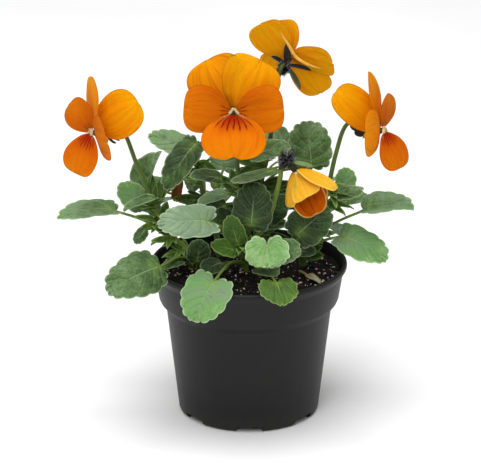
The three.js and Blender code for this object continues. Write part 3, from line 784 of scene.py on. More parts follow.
class Model:
    """The mesh of one piece while it is made, in millimetres.

    Each vertex carries two sets of numbers for the finishes. fan is the place across, from -1 to 1,
    the place along or among the side veins, and the distance from the edge. reach is the place
    along, the tone, and half the width.
    """

    BITS = 1200  # faces of small bits that are gathered at a time
    NO_EDGE = 9.0  # a stalk's distance from the edge, which is past every margin's width
    UNEVEN = 0.35  # how far a lump is from round
    DENTS = 1.7  # how close its dents lie

    def __init__(self, name: str, node: str, slot: Slot) -> None:
        """Starts an empty piece.

        Args:
            name: The piece's name.
            node: The solid that it stands for.
            slot: The piece's material slot, which is not used.
        """
        self.name = name
        self.node = node
        self.slot = slot
        self.finishes: list[Finish] = []
        self.bm = bmesh.new()
        for layer in ("fan", "reach", "lift"):
            self.bm.verts.layers.float_vector.new(layer)
        vectors = self.bm.verts.layers.float_vector
        self.fan, self.reach, self.lift = vectors["fan"], vectors["reach"], vectors["lift"]
        self.bits = bmesh.new()

    def gather(self) -> None:
        """Moves the small bits made so far into the piece."""
        mesh = bpy.data.meshes.new("bits")
        self.bits.to_mesh(mesh)
        self.bits.clear()
        self.bm.from_mesh(mesh)
        bpy.data.meshes.remove(mesh)

    def paint(self, faces: Sequence[bmesh.types.BMFace], finish: Finish) -> None:
        """Gives faces a finish and soft shading.

        Args:
            faces: The faces.
            finish: What they are made of.
        """
        if finish not in self.finishes:
            self.finishes.append(finish)
        for face in faces:
            face.material_index = self.finishes.index(finish)
            face.smooth = True

    def stalk(
        self, path: Path, radii: Sequence[float], finish: Finish, tone: float, *, sides: int,
        steps: int,
    ) -> None:
        """Adds a round stalk.

        Args:
            path: Its middle line.
            radii: Its radius at even steps from its foot to its end.
            finish: What it is made of.
            tone: How light it is.
            sides: Faces round it.
            steps: Faces along it.
        """
        made = bmesh.ops.create_grid(self.bm, x_segments=sides, y_segments=steps, size=1)["verts"]
        spots = [path.at(i / steps) for i in range(steps + 1)]
        rings = []
        normal = None
        for i, spot in enumerate(spots):
            way = (spots[min(i + 1, steps)] - spots[max(i - 1, 0)]).normalized()
            if normal is None:
                normal = way.orthogonal().normalized()
            across, normal = framed(way, normal)
            rings.append((spot, across, normal))
        for vert in made:
            turn = math.pi * vert.co.x
            share = 0.5 * (vert.co.y + 1)
            spot, across, out = rings[round(share * steps)]
            knot = share * (len(radii) - 1)
            low = min(int(knot), len(radii) - 2)
            radius = radii[low] + (radii[low + 1] - radii[low]) * (knot - low)
            vert[self.fan] = (math.sin(turn), share, self.NO_EDGE)
            vert[self.reach] = (share, tone, radius)
            vert.co = spot + across * (radius * math.sin(turn)) + out * (radius * math.cos(turn))
        bmesh.ops.remove_doubles(self.bm, verts=made, dist=1e-4)
        made = [vert for vert in made if vert.is_valid]
        rims = [edge for edge in edges_of(made) if edge.is_boundary]
        bmesh.ops.holes_fill(self.bm, edges=rims, sides=0)
        faces = faces_of(made)
        bmesh.ops.recalc_face_normals(self.bm, faces=faces)
        self.paint(faces, finish)

    def add_bit(self, verts: Sequence[bmesh.types.BMVert], finish: Finish) -> None:
        """Paints one small bit, and gathers the bits when there are many.

        Args:
            verts: Its vertices.
            finish: What it is made of.
        """
        self.paint(faces_of(verts), finish)
        if len(self.bits.faces) > self.BITS:
            self.gather()

    def hair(self, root: Vector, way: Vector, length: float, radius: float, finish: Finish) -> None:
        """Adds one tapering hair.

        Args:
            root: Where it grows.
            way: Where it points.
            length: Its length.
            radius: Its radius at its root.
            finish: What it is made of.
        """
        turn = UP.rotation_difference(way).to_matrix().to_4x4()
        place = Matrix.Translation(root + way.normalized() * (0.5 * length)) @ turn
        made = bmesh.ops.create_cone(
            self.bits, cap_ends=True, segments=3, radius1=radius, radius2=0.1 * radius,
            depth=length, matrix=place,
        )
        self.add_bit(made["verts"], finish)

    def lump(self, spot: Vector, size: Vector, turn: Matrix, finish: Finish, detail: int = 1) -> None:
        """Adds one uneven grain or knob.

        Args:
            spot: Its middle.
            size: Its length, width and height before it is turned.
            turn: How it is turned.
            finish: What it is made of.
            detail: How finely it is divided.
        """
        place = Matrix.Translation(spot) @ turn @ Matrix.Diagonal((*size, 1))
        made = bmesh.ops.create_icosphere(self.bits, subdivisions=detail, radius=0.5, matrix=place)
        for vert in made["verts"]:
            vert.co += (vert.co - spot) * self.UNEVEN * noise.noise(vert.co * self.DENTS)
        self.add_bit(made["verts"], finish)

    def object(self) -> bpy.types.Object:
        """Makes the finished piece, in place of its solid.

        Returns:
            The piece.
        """
        self.gather()
        self.bits.free()
        self.bm.verts.layers.float_vector.remove(self.lift)
        bmesh.ops.scale(self.bm, vec=(MM, MM, MM), verts=self.bm.verts)
        mesh = mesh_of(self.name, self.bm)
        for finish in self.finishes:
            mesh.materials.append(material_of(finish))
        piece = shown(self.name, mesh)
        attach(piece, "root")
        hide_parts(self.node)
        return piece


@dataclass(frozen=True)
class Blade:
    """A thin leaf, sepal or petal in its place."""

    form: BladeForm
    base: Vector
    tip: Vector
    width: float
    face: Vector
    front: Finish
    back: Finish
    tone: float = 0.5

    BROAD = 1.2  # past this width for its length, the side veins fan out from below the base
    BELOW = 0.35  # how far below, as a share of the length
    THIN = (0.4, 0.3)  # share of the thickness at the edge, and what each millimetre inwards adds

    @property
    def length(self) -> float:
        """From base to tip."""
        return (self.tip - self.base).length

    @property
    def axes(self) -> tuple[Vector, Vector, Vector]:
        """The directions across it, along it and out of its face."""
        way = (self.tip - self.base).normalized()
        across, normal = framed(way, self.face)
        return across, way, normal

    def place(self, u: float, v: float, lift: float) -> Vector:
        """Finds the place of one of its points, lifted out of its face.

        Args:
            u: From -1 at one edge to 1 at the other.
            v: From 0 at the base to 1 at the tip.
            lift: How far out.

        Returns:
            The place.
        """
        across, way, normal = self.axes
        spot, _ = self.form.point(self.length, self.width, u, v)
        return self.base + across * spot.x + way * spot.y + normal * (spot.z + lift)

    def lay(self, model: Model) -> list[bmesh.types.BMVert]:
        """Makes its middle surface, with the numbers for its finish.

        Args:
            model: The piece that it belongs to.

        Returns:
            Its vertices.
        """
        form, length = self.form, self.length
        across, way, normal = self.axes
        made = bmesh.ops.create_grid(model.bm, x_segments=form.columns, y_segments=form.rows, size=1)
        for vert in made["verts"]:
            u, v = vert.co.x, 0.5 * (vert.co.y + 1)
            spot, half = form.point(length, self.width, u, v)
            rim = min((1 - abs(u)) * half, (1 - v) * length)
            vein = v - form.SWEEP * abs(u)
            if self.width > self.BROAD * length:
                vein = 0.5 * math.atan2(abs(spot.x), spot.y + self.BELOW * length)
            vert[model.fan] = (u, vein * form.teeth if form.teeth else v, rim)
            vert[model.reach] = (v, self.tone, half)
            vert.co = self.base + across * spot.x + way * spot.y + normal * spot.z
        return made["verts"]

    def build(self, model: Model) -> None:
        """Adds it to a piece.

        Args:
            model: The piece.
        """
        under = self.lay(model)
        faces = faces_of(under)
        for face in faces:
            face.normal_update()
        for vert in under:
            vert.normal_update()
            vert[model.lift] = vert.normal
        raised = bmesh.ops.extrude_face_region(model.bm, geom=faces, use_keep_orig=True)["geom"]
        over = [item for item in raised if isinstance(item, bmesh.types.BMVert)]
        least, gain = self.THIN
        for verts, sense in ((over, 0.5), (under, -0.5)):
            for vert in verts:
                thick = self.form.thickness * min(1.0, least + gain * vert[model.fan][2])
                vert.co += Vector(vert[model.lift]) * (sense * thick)
        whole = faces_of([*over, *under])
        bmesh.ops.recalc_face_normals(model.bm, faces=whole)
        model.paint(whole, self.front)
        model.paint(faces, self.back)
        broad = {*faces, *(item for item in raised if isinstance(item, bmesh.types.BMFace))}
        for face in whole:
            if face not in broad:
                for edge in face.edges:
                    edge.smooth = not any(other in broad for other in edge.link_faces)


# Pot and soil


@dataclass(frozen=True)
class NurseryPot:
    """The round pot: a tapered wall with a collar and a lip, on a foot ring with notches.

    It rests on a disc of its own within the ring. notch_overlap is how far the notches are cut past
    the ring, inwards and outwards, and collar_chamfer the width and height of the collar's slope.
    """

    height: float = 84
    rim_radius: float = 52.5
    lip_height: float = 3
    lip_width: float = 1.9
    lip_round: float = 0.7
    wall: float = 1.2
    foot_radius: float = 37.6
    foot_round: float = 1.4
    shoulder_height: float = 59.5
    shoulder_radius: float = 44.4
    collar_height: float = 64.5
    collar_radius: float = 48.2
    collar_top_height: float = 78
    collar_top_radius: float = 50.4
    collar_chamfer: Span = (0.7, 1.6)
    floor_lift: float = 3
    foot_ring_inside: float = 33.4
    draft: float = 0.4
    chamfer: float = 0.6
    rest_radius: float = 14
    rest_slope: float = 1
    notches: int = 7
    notch_width: float = 13.8
    notch_height: float = 3.2
    notch_round: float = 0.8
    notch_overlap: Span = (2, 4)
    drain_radius: float = 2.6
    drain_sides: int = 32
    drain_at: float = 27
    corner: float = 0.4
    steps: int = 144

    SHARP = 0.3  # edges that turn by more than this, in radians, are rounded off
    CREASE = 0.6  # and those that still turn by more than this stay crisp

    def inside(self, height: float, clearance: float = 0.0) -> float:
        """Finds the inner radius of the wall.

        Args:
            height: Where it is measured.
            clearance: What is taken off it.

        Returns:
            The radius, less the clearance.
        """
        knots = [
            (0.0, self.foot_radius),
            (self.shoulder_height, self.shoulder_radius),
            (self.collar_height, self.collar_radius),
            (self.collar_top_height, self.collar_top_radius),
        ]
        span = next((i for i in range(2) if height <= knots[i + 1][0]), 2)
        (low, near), (high, far) = knots[span], knots[span + 1]
        return near + (far - near) * (height - low) / (high - low) - self.wall - clearance

    def section(self) -> list[Span]:
        """Draws half the pot's section, from under its floor round to inside it.

        Returns:
            Its points, as radius and height.
        """
        lip = self.height - self.lip_height
        floor = self.floor_lift + self.wall
        inset, drop = self.collar_chamfer
        return [
            (0, 0),
            (self.rest_radius, 0),
            (self.rest_radius + self.rest_slope, self.floor_lift),
            (self.foot_ring_inside - self.draft, self.floor_lift),
            (self.foot_ring_inside, 0),
            (self.foot_radius - self.foot_round, 0),
            (self.inside(self.foot_round, -self.wall), self.foot_round),
            (self.shoulder_radius, self.shoulder_height),
            (self.collar_radius - inset, self.collar_height - drop),
            (self.collar_radius, self.collar_height),
            (self.collar_top_radius, self.collar_top_height),
            (self.rim_radius - self.draft, lip),
            (self.rim_radius, lip + self.chamfer),
            (self.rim_radius, self.height - self.lip_round),
            (self.rim_radius - self.chamfer, self.height),
            (self.rim_radius - self.lip_width, self.height),
            (self.inside(self.collar_top_height), self.collar_top_height),
            (self.inside(self.collar_height + self.chamfer), self.collar_height + self.chamfer),
            (self.inside(self.shoulder_height), self.shoulder_height + self.chamfer),
            (self.inside(floor), floor),
            (0, floor),
        ]

    def shell(self) -> bmesh.types.BMesh:
        """Turns the pot's section round its axis and rounds its corners.

        Returns:
            The pot without its notches and holes.
        """
        bm = bmesh.new()
        turned(bm, self.section(), self.steps)
        rounded(bm, [e for e in bm.edges if e.calc_face_angle(0) > self.SHARP], self.corner)
        return bm

    def cutter(self) -> bmesh.types.BMesh:
        """Makes the notches in the foot ring and the drain holes beside them.

        Returns:
            What is cut out of the pot.
        """
        bm = bmesh.new()
        inner = self.foot_ring_inside - self.notch_overlap[0]
        outer = self.foot_radius + self.notch_overlap[1]
        box = Matrix.Diagonal((outer - inner, self.notch_width, 2 * self.notch_height, 1))
        for i in range(self.notches):
            turn = Matrix.Rotation(2 * math.pi * i / self.notches - 0.5 * math.pi, 4, "Z")
            place = turn @ Matrix.Translation((0.5 * (inner + outer), 0, 0)) @ box
            notch = bmesh.ops.create_cube(bm, size=1, matrix=place)["verts"]
            rounded(bm, edges_of(notch), self.notch_round)
            drain = turn @ Matrix.Translation((self.drain_at, 0, self.floor_lift))
            bmesh.ops.create_cone(
                bm, cap_ends=True, segments=self.drain_sides, radius1=self.drain_radius,
                radius2=self.drain_radius, depth=4 * self.wall, matrix=drain,
            )
        return bm

    def build(self) -> Model:
        """Makes the pot.

        Returns:
            The pot's piece.
        """
        shell = shown("shell", mesh_of("shell", self.shell()))
        cutter = shown("cutter", mesh_of("cutter", self.cutter()))
        cut = shell.modifiers.new("notches", "BOOLEAN")
        cut.object = cutter
        cut.operation = "DIFFERENCE"
        cut.solver = "EXACT"
        cut.use_self = True
        depsgraph = bpy.context.evaluated_depsgraph_get()
        model = Model("flowerpot", "pot", Slot.POT)
        model.bm.from_mesh(bpy.data.meshes.new_from_object(shell.evaluated_get(depsgraph)))
        model.paint(model.bm.faces, PLASTIC)
        for edge in model.bm.edges:
            edge.smooth = edge.calc_face_angle(0) < self.CREASE
        for thing in (shell, cutter):
            bpy.data.objects.remove(thing)
        return model


@dataclass(frozen=True)
class Litter:
    """Grains of one kind that lie on the soil, with their smallest and largest size."""

    count: int
    finish: Finish
    small: float
    large: float


@dataclass(frozen=True)
class PottingSoil:
    """The block of soil in the pot, with crumbs, bark and perlite on its top."""

    pot: NurseryPot
    clearance: float = 0.35
    edge_height: float = 78.6
    crown_rise: float = 2.6
    lump_size: float = 0.16
    lump_rise: float = 1.1
    shoulder_lift: float = 1.2
    collar_lift: float = 1.4
    bare_edge: float = 1.5
    steps: int = 150
    rings: int = 58
    seed: int = 11
    litter: tuple[Litter, ...] = (
        Litter(420, SOIL_BED, 1.0, 3.0),
        Litter(520, PERLITE, 0.5, 2.3),
        Litter(90, BARK, 1.2, 4.2),
    )

    ROUGHNESS = (0.7, 2.1, 5)  # how the lumps carry smaller lumps
    CALM = (0.15, 4)  # how high they are at the wall, and how fast they rise from it
    RARITY = 2.5  # how much rarer large grains are
    BREADTH = (0.4, 0.9)  # a grain's other sides, as shares of its length
    HEIGHT = (0.3, 0.7)
    LEAN = 0.4
    PERCH = 0.12  # how far its middle lies above the soil

    def top(self, x: float, y: float) -> float:
        """Finds the height of the soil's lumpy top.

        Args:
            x: The place to the right.
            y: The place to the back.

        Returns:
            The height.
        """
        share = math.hypot(x, y) / self.pot.inside(self.edge_height, self.clearance)
        lumps = noise.fractal(Vector((x, y, 3)) * self.lump_size, *self.ROUGHNESS) * self.lump_rise
        calm = min(1.0, max(self.CALM[0], self.CALM[1] * (1 - share)))
        return self.edge_height + self.crown_rise * (1 - share**2) + lumps * calm

    def build(self) -> Model:
        """Makes the soil.

        Returns:
            The soil's piece.
        """
        model = Model("potting_soil", "soil", Slot.SOIL)
        pot = self.pot
        bottom = pot.floor_lift + pot.wall + self.clearance
        edge = pot.inside(self.edge_height, self.clearance)
        collar = pot.collar_height + pot.chamfer
        section = [
            (0, bottom),
            (pot.inside(bottom, self.clearance), bottom),
            (pot.inside(pot.shoulder_height, self.clearance), pot.shoulder_height + self.shoulder_lift),
            (pot.inside(collar, self.clearance), pot.collar_height + self.collar_lift),
        ]
        section += [(edge * (1 - i / self.rings), self.edge_height) for i in range(self.rings + 1)]
        turned(model.bm, section, self.steps)
        for vert in model.bm.verts:
            if vert.co.z > self.edge_height - 0.01:
                vert.co.z = self.top(vert.co.x, vert.co.y)
        model.paint(model.bm.faces, SOIL_BED)
        self.scatter(model, edge - self.bare_edge)
        return model

    def scatter(self, model: Model, reach: float) -> None:
        """Strews the litter over the top.

        Args:
            model: The soil's piece.
            reach: How far from the axis it lies.
        """
        draw = random.Random(self.seed)
        for kind in self.litter:
            for _ in range(kind.count):
                turn, far = draw.uniform(0, 2 * math.pi), reach * math.sqrt(draw.random())
                x, y = far * math.cos(turn), far * math.sin(turn)
                size = kind.small + (kind.large - kind.small) * draw.random() ** self.RARITY
                sides = (1.0, draw.uniform(*self.BREADTH), draw.uniform(*self.HEIGHT))
                spot = Vector((x, y, self.top(x, y) + self.PERCH * size))
                tilt = Matrix.Rotation(draw.uniform(0, math.pi), 4, "Z")
                tilt @= Matrix.Rotation(draw.gauss(0, self.LEAN), 4, "X")
                model.lump(spot, Vector(sides) * size, tilt, kind.finish)


# Leafy shoots

LEAF_FORM = BladeForm(
    66, 22, taper=0.2, heart=0.2, blunt=0.74, teeth=6.5, tooth=0.12, arch=0.1, fold=0.12, cup=-0.14,
    ruffle=0.03, waves=6, quilt=0.28,
)
SMALL_FORM = BladeForm(
    44, 14, taper=0.1, heart=0.1, blunt=0.77, teeth=4.5, tooth=0.1, arch=0.1, fold=0.1,
    ruffle=0.03, waves=4, quilt=0.2,
)
SEPAL_FORM = BladeForm(18, 6, blunt=1.2, arch=0.05, fold=0.25, thickness=0.5)
LOBE_FORM = replace(SEPAL_FORM, ruffle=0.1, waves=3)


@dataclass(frozen=True)
class Leaf:
    """A leaf and its stalk, which grows at a share of its stem's length."""

    share: float
    base: Point
    tip: Point
    width: float
    face: Point
    tone: float
    form: BladeForm
    sag: float = 0.06
    front: Finish = LEAF_FACE
    back: Finish = LEAF_BACK

    STALK = (1.035, 0.765, 0.72, 0.63, 0.2)  # the stalk's radii, from the stem to under the blade
    RIB = ((0.1, -0.35), (0.3, -0.3))  # where it runs under the blade: how far along and how deep
    # The stalk follows its blade's tone, painted shade included.
    STALK_TONE = (0.35, 0.85)  # under the darkest blade and the lightest

    def build(self, model: Model, root: Vector) -> None:
        """Adds it to a piece.

        Args:
            model: The shoot's piece.
            root: Where its stalk grows.
        """
        start = Vector(self.base)
        blade = Blade(
            self.form, start, Vector(self.tip), self.width, Vector(self.face), self.front, self.back,
            self.tone,
        )
        middle = root.lerp(start, 0.5)
        middle.z += self.sag * (start - root).length
        path = Path([root, middle, start, *(blade.place(0, v, lift) for v, lift in self.RIB)])
        finish = DRY_LEAF if self.front is DRY_LEAF else STEM
        dark, light = self.STALK_TONE
        tone = dark + (light - dark) * self.tone
        model.stalk(path, self.STALK, finish, tone, sides=10, steps=20)
        blade.build(model)


def broad(
    share: float, base: Point, tip: Point, width: float, face: Point, tone: Tone,
    sag: float = 0.06, front: Finish = LEAF_FACE, **bend: float,
) -> Leaf:
    """A full-grown leaf, with what differs from its form."""
    return Leaf(share, base, tip, width, face, tone.value, replace(LEAF_FORM, **bend), sag, front)


def small(
    share: float, base: Point, tip: Point, width: float, face: Point, tone: Tone,
    front: Finish = LEAF_FACE, **bend: float,
) -> Leaf:
    """A small leaf, with what differs from its form."""
    form = replace(SMALL_FORM, **bend)
    return Leaf(share, base, tip, width, face, tone.value, form, front=front)


@dataclass(frozen=True)
class Stipule:
    """Narrow leafy lobes in a fan at the foot of a leaf stalk."""

    share: float
    aim: Point
    length: float = 11
    width: float = 2.9
    swings: tuple[float, ...] = (-0.4, 0.4, -1.1, 1.0)
    tone: float = 0.5
    face: Point = (0, 0, 1)

    MAIN = 2  # lobes that are full-grown
    SIDE_LOBE = 0.6  # size of the others
    SUNK = 0.8  # how deep the lobes start in the stem

    def build(self, model: Model, root: Vector) -> None:
        """Adds it to a piece.

        Args:
            model: The shoot's piece.
            root: Where it grows.
        """
        out = Vector(self.aim).normalized()
        side = out.cross(Vector(self.face)).normalized()
        for i, swing in enumerate(self.swings):
            way = (out + side * swing).normalized()
            size = 1.0 if i < self.MAIN else self.SIDE_LOBE
            lobe = Blade(
                LOBE_FORM, root - way * self.SUNK, root + way * (self.length * size),
                self.width * size, side.cross(way), YOUNG_LEAF, YOUNG_LEAF, self.tone,
            )
            lobe.build(model)


def tuft(share: float, aim: Point, length: float) -> Stipule:
    """A fan of broad lobes, dark with painted shade, which closes a gap among the leaves."""
    return Stipule(share, aim, length, 6, (-0.2, 0.25, -0.7, 0.8), 0.15, (-0.1, -0.9, 0.4))


def fan(share: float, aim: Point, length: float) -> Stipule:
    """A fresh green fan of narrow lobes, turned to the front."""
    return Stipule(share, aim, length, 3.8, (-0.35, 0.2, -1.0, 0.8, 1.3), 0.45, (-0.1, -0.8, 0.5))


@dataclass(frozen=True)
class Calyx:
    """The swelling behind a bloom's petals, its five sepals and its hairs."""

    radius: float = 2.1
    behind: float = 5.6
    sepal: float = 10
    lean: float = -22
    clocks: tuple[float, ...] = (0, 62, 122, 238, 298)
    hair_radius: float = 0.2
    # The share of hairs in the pale grey finish, whose paleness is painted sheen.
    pale_hairs: float = 0.3

    def build(self, model: Model, bloom: "Bloom") -> None:
        """Adds it to a piece.

        Args:
            model: The shoot's piece.
            bloom: The bloom that it carries.
        """
        heart = bloom.place(0, 0, -self.behind)
        ways = [Vector(aim) for aim in bloom.sepals]
        ways = ways or [bloom.ray(clock, self.lean)[0] * self.sepal for clock in self.clocks]
        knob = Vector((2 * self.radius,) * 3)
        model.lump(heart, knob, Matrix.Identity(4), SEPAL, 3)
        face = Vector(bloom.sepal_face) if bloom.sepal_face else bloom.ahead
        for way, tone in zip(ways, bloom.sepal_tones):
            ear = heart - way.normalized() * (0.5 * bloom.ears) - bloom.ahead * bloom.ears
            for foot, tip in ((heart + way * 0.1, heart + way), (heart, ear)):
                Blade(SEPAL_FORM, foot, tip, bloom.sepal_width, face, SEPAL, SEPAL, tone).build(model)
        draw = random.Random(len(bloom.name))
        for _ in range(bloom.hairs):
            out = Vector((draw.gauss(0, 1), draw.gauss(0, 1), draw.gauss(0, 1))).normalized()
            root = heart + out * (0.9 * self.radius) - bloom.ahead * (bloom.ears * draw.random())
            long = bloom.hair_length * draw.uniform(0.4, 1.0)
            finish = SHEEN_HAIR if draw.random() < self.pale_hairs else SEPAL
            model.hair(root, out, long, self.hair_radius, finish)


@dataclass(frozen=True)
class Shoot:
    """One leafy stem, with its leaves and stipules, and its bloom's stalk and calyx.

    stem is where it leaves the soil and the points it passes above it. From foot to clear it stands
    upright in the soil. fill is how many further stipules it gets.
    """

    name: str
    stem: tuple[tuple[float, ...], ...]
    leaves: tuple[Leaf, ...]
    stipules: tuple[Stipule, ...]
    radius: float = 1.7
    bloom: "Bloom | None" = None
    stalk: tuple[Point, ...] = ()
    tone: float = 0.5
    fill: int = 5
    foot: float = 68
    clear: float = 86

    TURNS = (-0.5, 1.5)  # what the further stipules are drawn from, in half turns from the right
    CLIMB = (0.1, 0.9)
    SHARES = (0.45, 0.98)
    SIZES = (0.6, 1.1)
    FULL_SIZE = (11, 3)  # their length and width at size 1
    TAPER = (1.0, 1.0, 0.92, 0.85, 0.5)
    STALK_TAPER = (1.1, 1.0, 0.9, 1.0)
    STALK_TOP = (0, 0.4, -0.6)  # where the bloom's stalk ends, from the middle of the calyx

    def curve(self) -> Path:
        """The stem's middle line, upright in the soil."""
        (x, y), *rest = self.stem
        return Path([(x, y, z) for z in (self.foot, 0.5 * (self.foot + self.clear), self.clear)] + rest)

    def tufts(self) -> list[Stipule]:
        """Draws further stipules, which fill the shoot out between its leaves.

        Returns:
            The stipules.
        """
        draw = random.Random(self.name)
        found = []
        for _ in range(self.fill):
            turn = draw.uniform(*self.TURNS) * math.pi
            aim = (math.cos(turn), math.sin(turn), draw.uniform(*self.CLIMB))
            share = draw.uniform(*self.SHARES)
            size = draw.uniform(*self.SIZES)
            found.append(Stipule(share, aim, *(full * size for full in self.FULL_SIZE)))
        return found

    def carry(self, model: Model, bloom: "Bloom") -> None:
        """Adds a bloom's stalk and calyx.

        Args:
            model: The shoot's piece.
            bloom: The bloom.
        """
        calyx = Calyx()
        x, y, z = self.STALK_TOP
        path = Path([*self.stalk, *bloom.crook, bloom.place(x, y, z - calyx.behind)])
        radii = [share * bloom.stalk_radius for share in self.STALK_TAPER]
        model.stalk(path, radii, STEM, bloom.stalk_tone, sides=14, steps=60)
        calyx.build(model, bloom)

    def build(self) -> Model:
        """Makes the shoot.

        Returns:
            The shoot's piece.
        """
        model = Model(f"stems_{self.name}", f"shoot_{self.name}", Slot.GREEN)
        curve = self.curve()
        radii = [share * self.radius for share in self.TAPER]
        model.stalk(curve, radii, STEM, self.tone, sides=16, steps=40)
        for part in (*self.leaves, *self.stipules, *self.tufts()):
            part.build(model, curve.along(part.share))
        if self.bloom:
            self.carry(model, self.bloom)
        return model


# Blooms

PETAL_FORM = BladeForm(
    36, 32, taper=-0.15, blunt=0.62, claw=0.7, arch=0.06, cup=-0.06, ruffle=0.018, waves=5,
    thickness=0.4,
)
LOWER_FORM = replace(PETAL_FORM, taper=0.0, notch=0.06)
FACET_FORM = replace(PETAL_FORM, taper=-0.8, blunt=0.4, arch=0.0, cup=0.1)
HOOD_FORM = replace(PETAL_FORM, columns=20, taper=-0.1, arch=-0.08, fold=0.1, cup=0.3, ruffle=0.03)


@dataclass(frozen=True)
class Petal:
    """One petal of a bloom.

    clock is its direction from straight up, clockwise as seen from the front, and tilt its lean
    towards the front. aim and front take their place where a petal is bent out of the fan. layer is
    its place from front to back.
    """

    finish: PetalFinish
    form: BladeForm
    length: float
    width: float
    clock: float
    tilt: float
    layer: float
    aim: Point | None = None
    front: Point | None = None


UPPER = Petal(PETAL_UPPER, PETAL_FORM, 30.3, 31, -28, -8, -1.9)
SIDE = Petal(PETAL_SIDE, PETAL_FORM, 26, 25, -85, 4, 0)
LOWER = Petal(PETAL_LOWER, LOWER_FORM, 25, 35, 180, 8, 1.2)
HOOD = Petal(HOOD_INSIDE, HOOD_FORM, 20, 16, 0, 0, -1)
# The upper right petal takes the lighter copy, with its painted light.
UPPER_RIGHT = replace(UPPER, finish=PETAL_UPPER_LIT, clock=28, layer=-1.2)
SIDE_RIGHT = replace(SIDE, clock=85, layer=0.1)
# A lower petal on the plain form, in the darker copy with painted shade.
TURNED = replace(LOWER, finish=PETAL_TURNED_SHADED, form=PETAL_FORM)
OPEN_FAN = (UPPER, UPPER_RIGHT, SIDE, SIDE_RIGHT, LOWER)


def bent(petal: Petal, aim: Point, front: Point, width: float, **bend: Any) -> Petal:
    """A petal that points its own way.

    Args:
        petal: The petal it comes from.
        aim: From its foot to its tip.
        front: The way it faces.
        width: Its width.
        bend: A layer, a finish or a form that differs, or part of its form.

    Returns:
        The bent petal.
    """
    own = {key: bend.pop(key) for key in ("taper", "blunt", "arch") if key in bend}
    form = replace(bend.pop("form", petal.form), **own)
    return replace(petal, aim=aim, front=front, width=width, form=form, **bend)


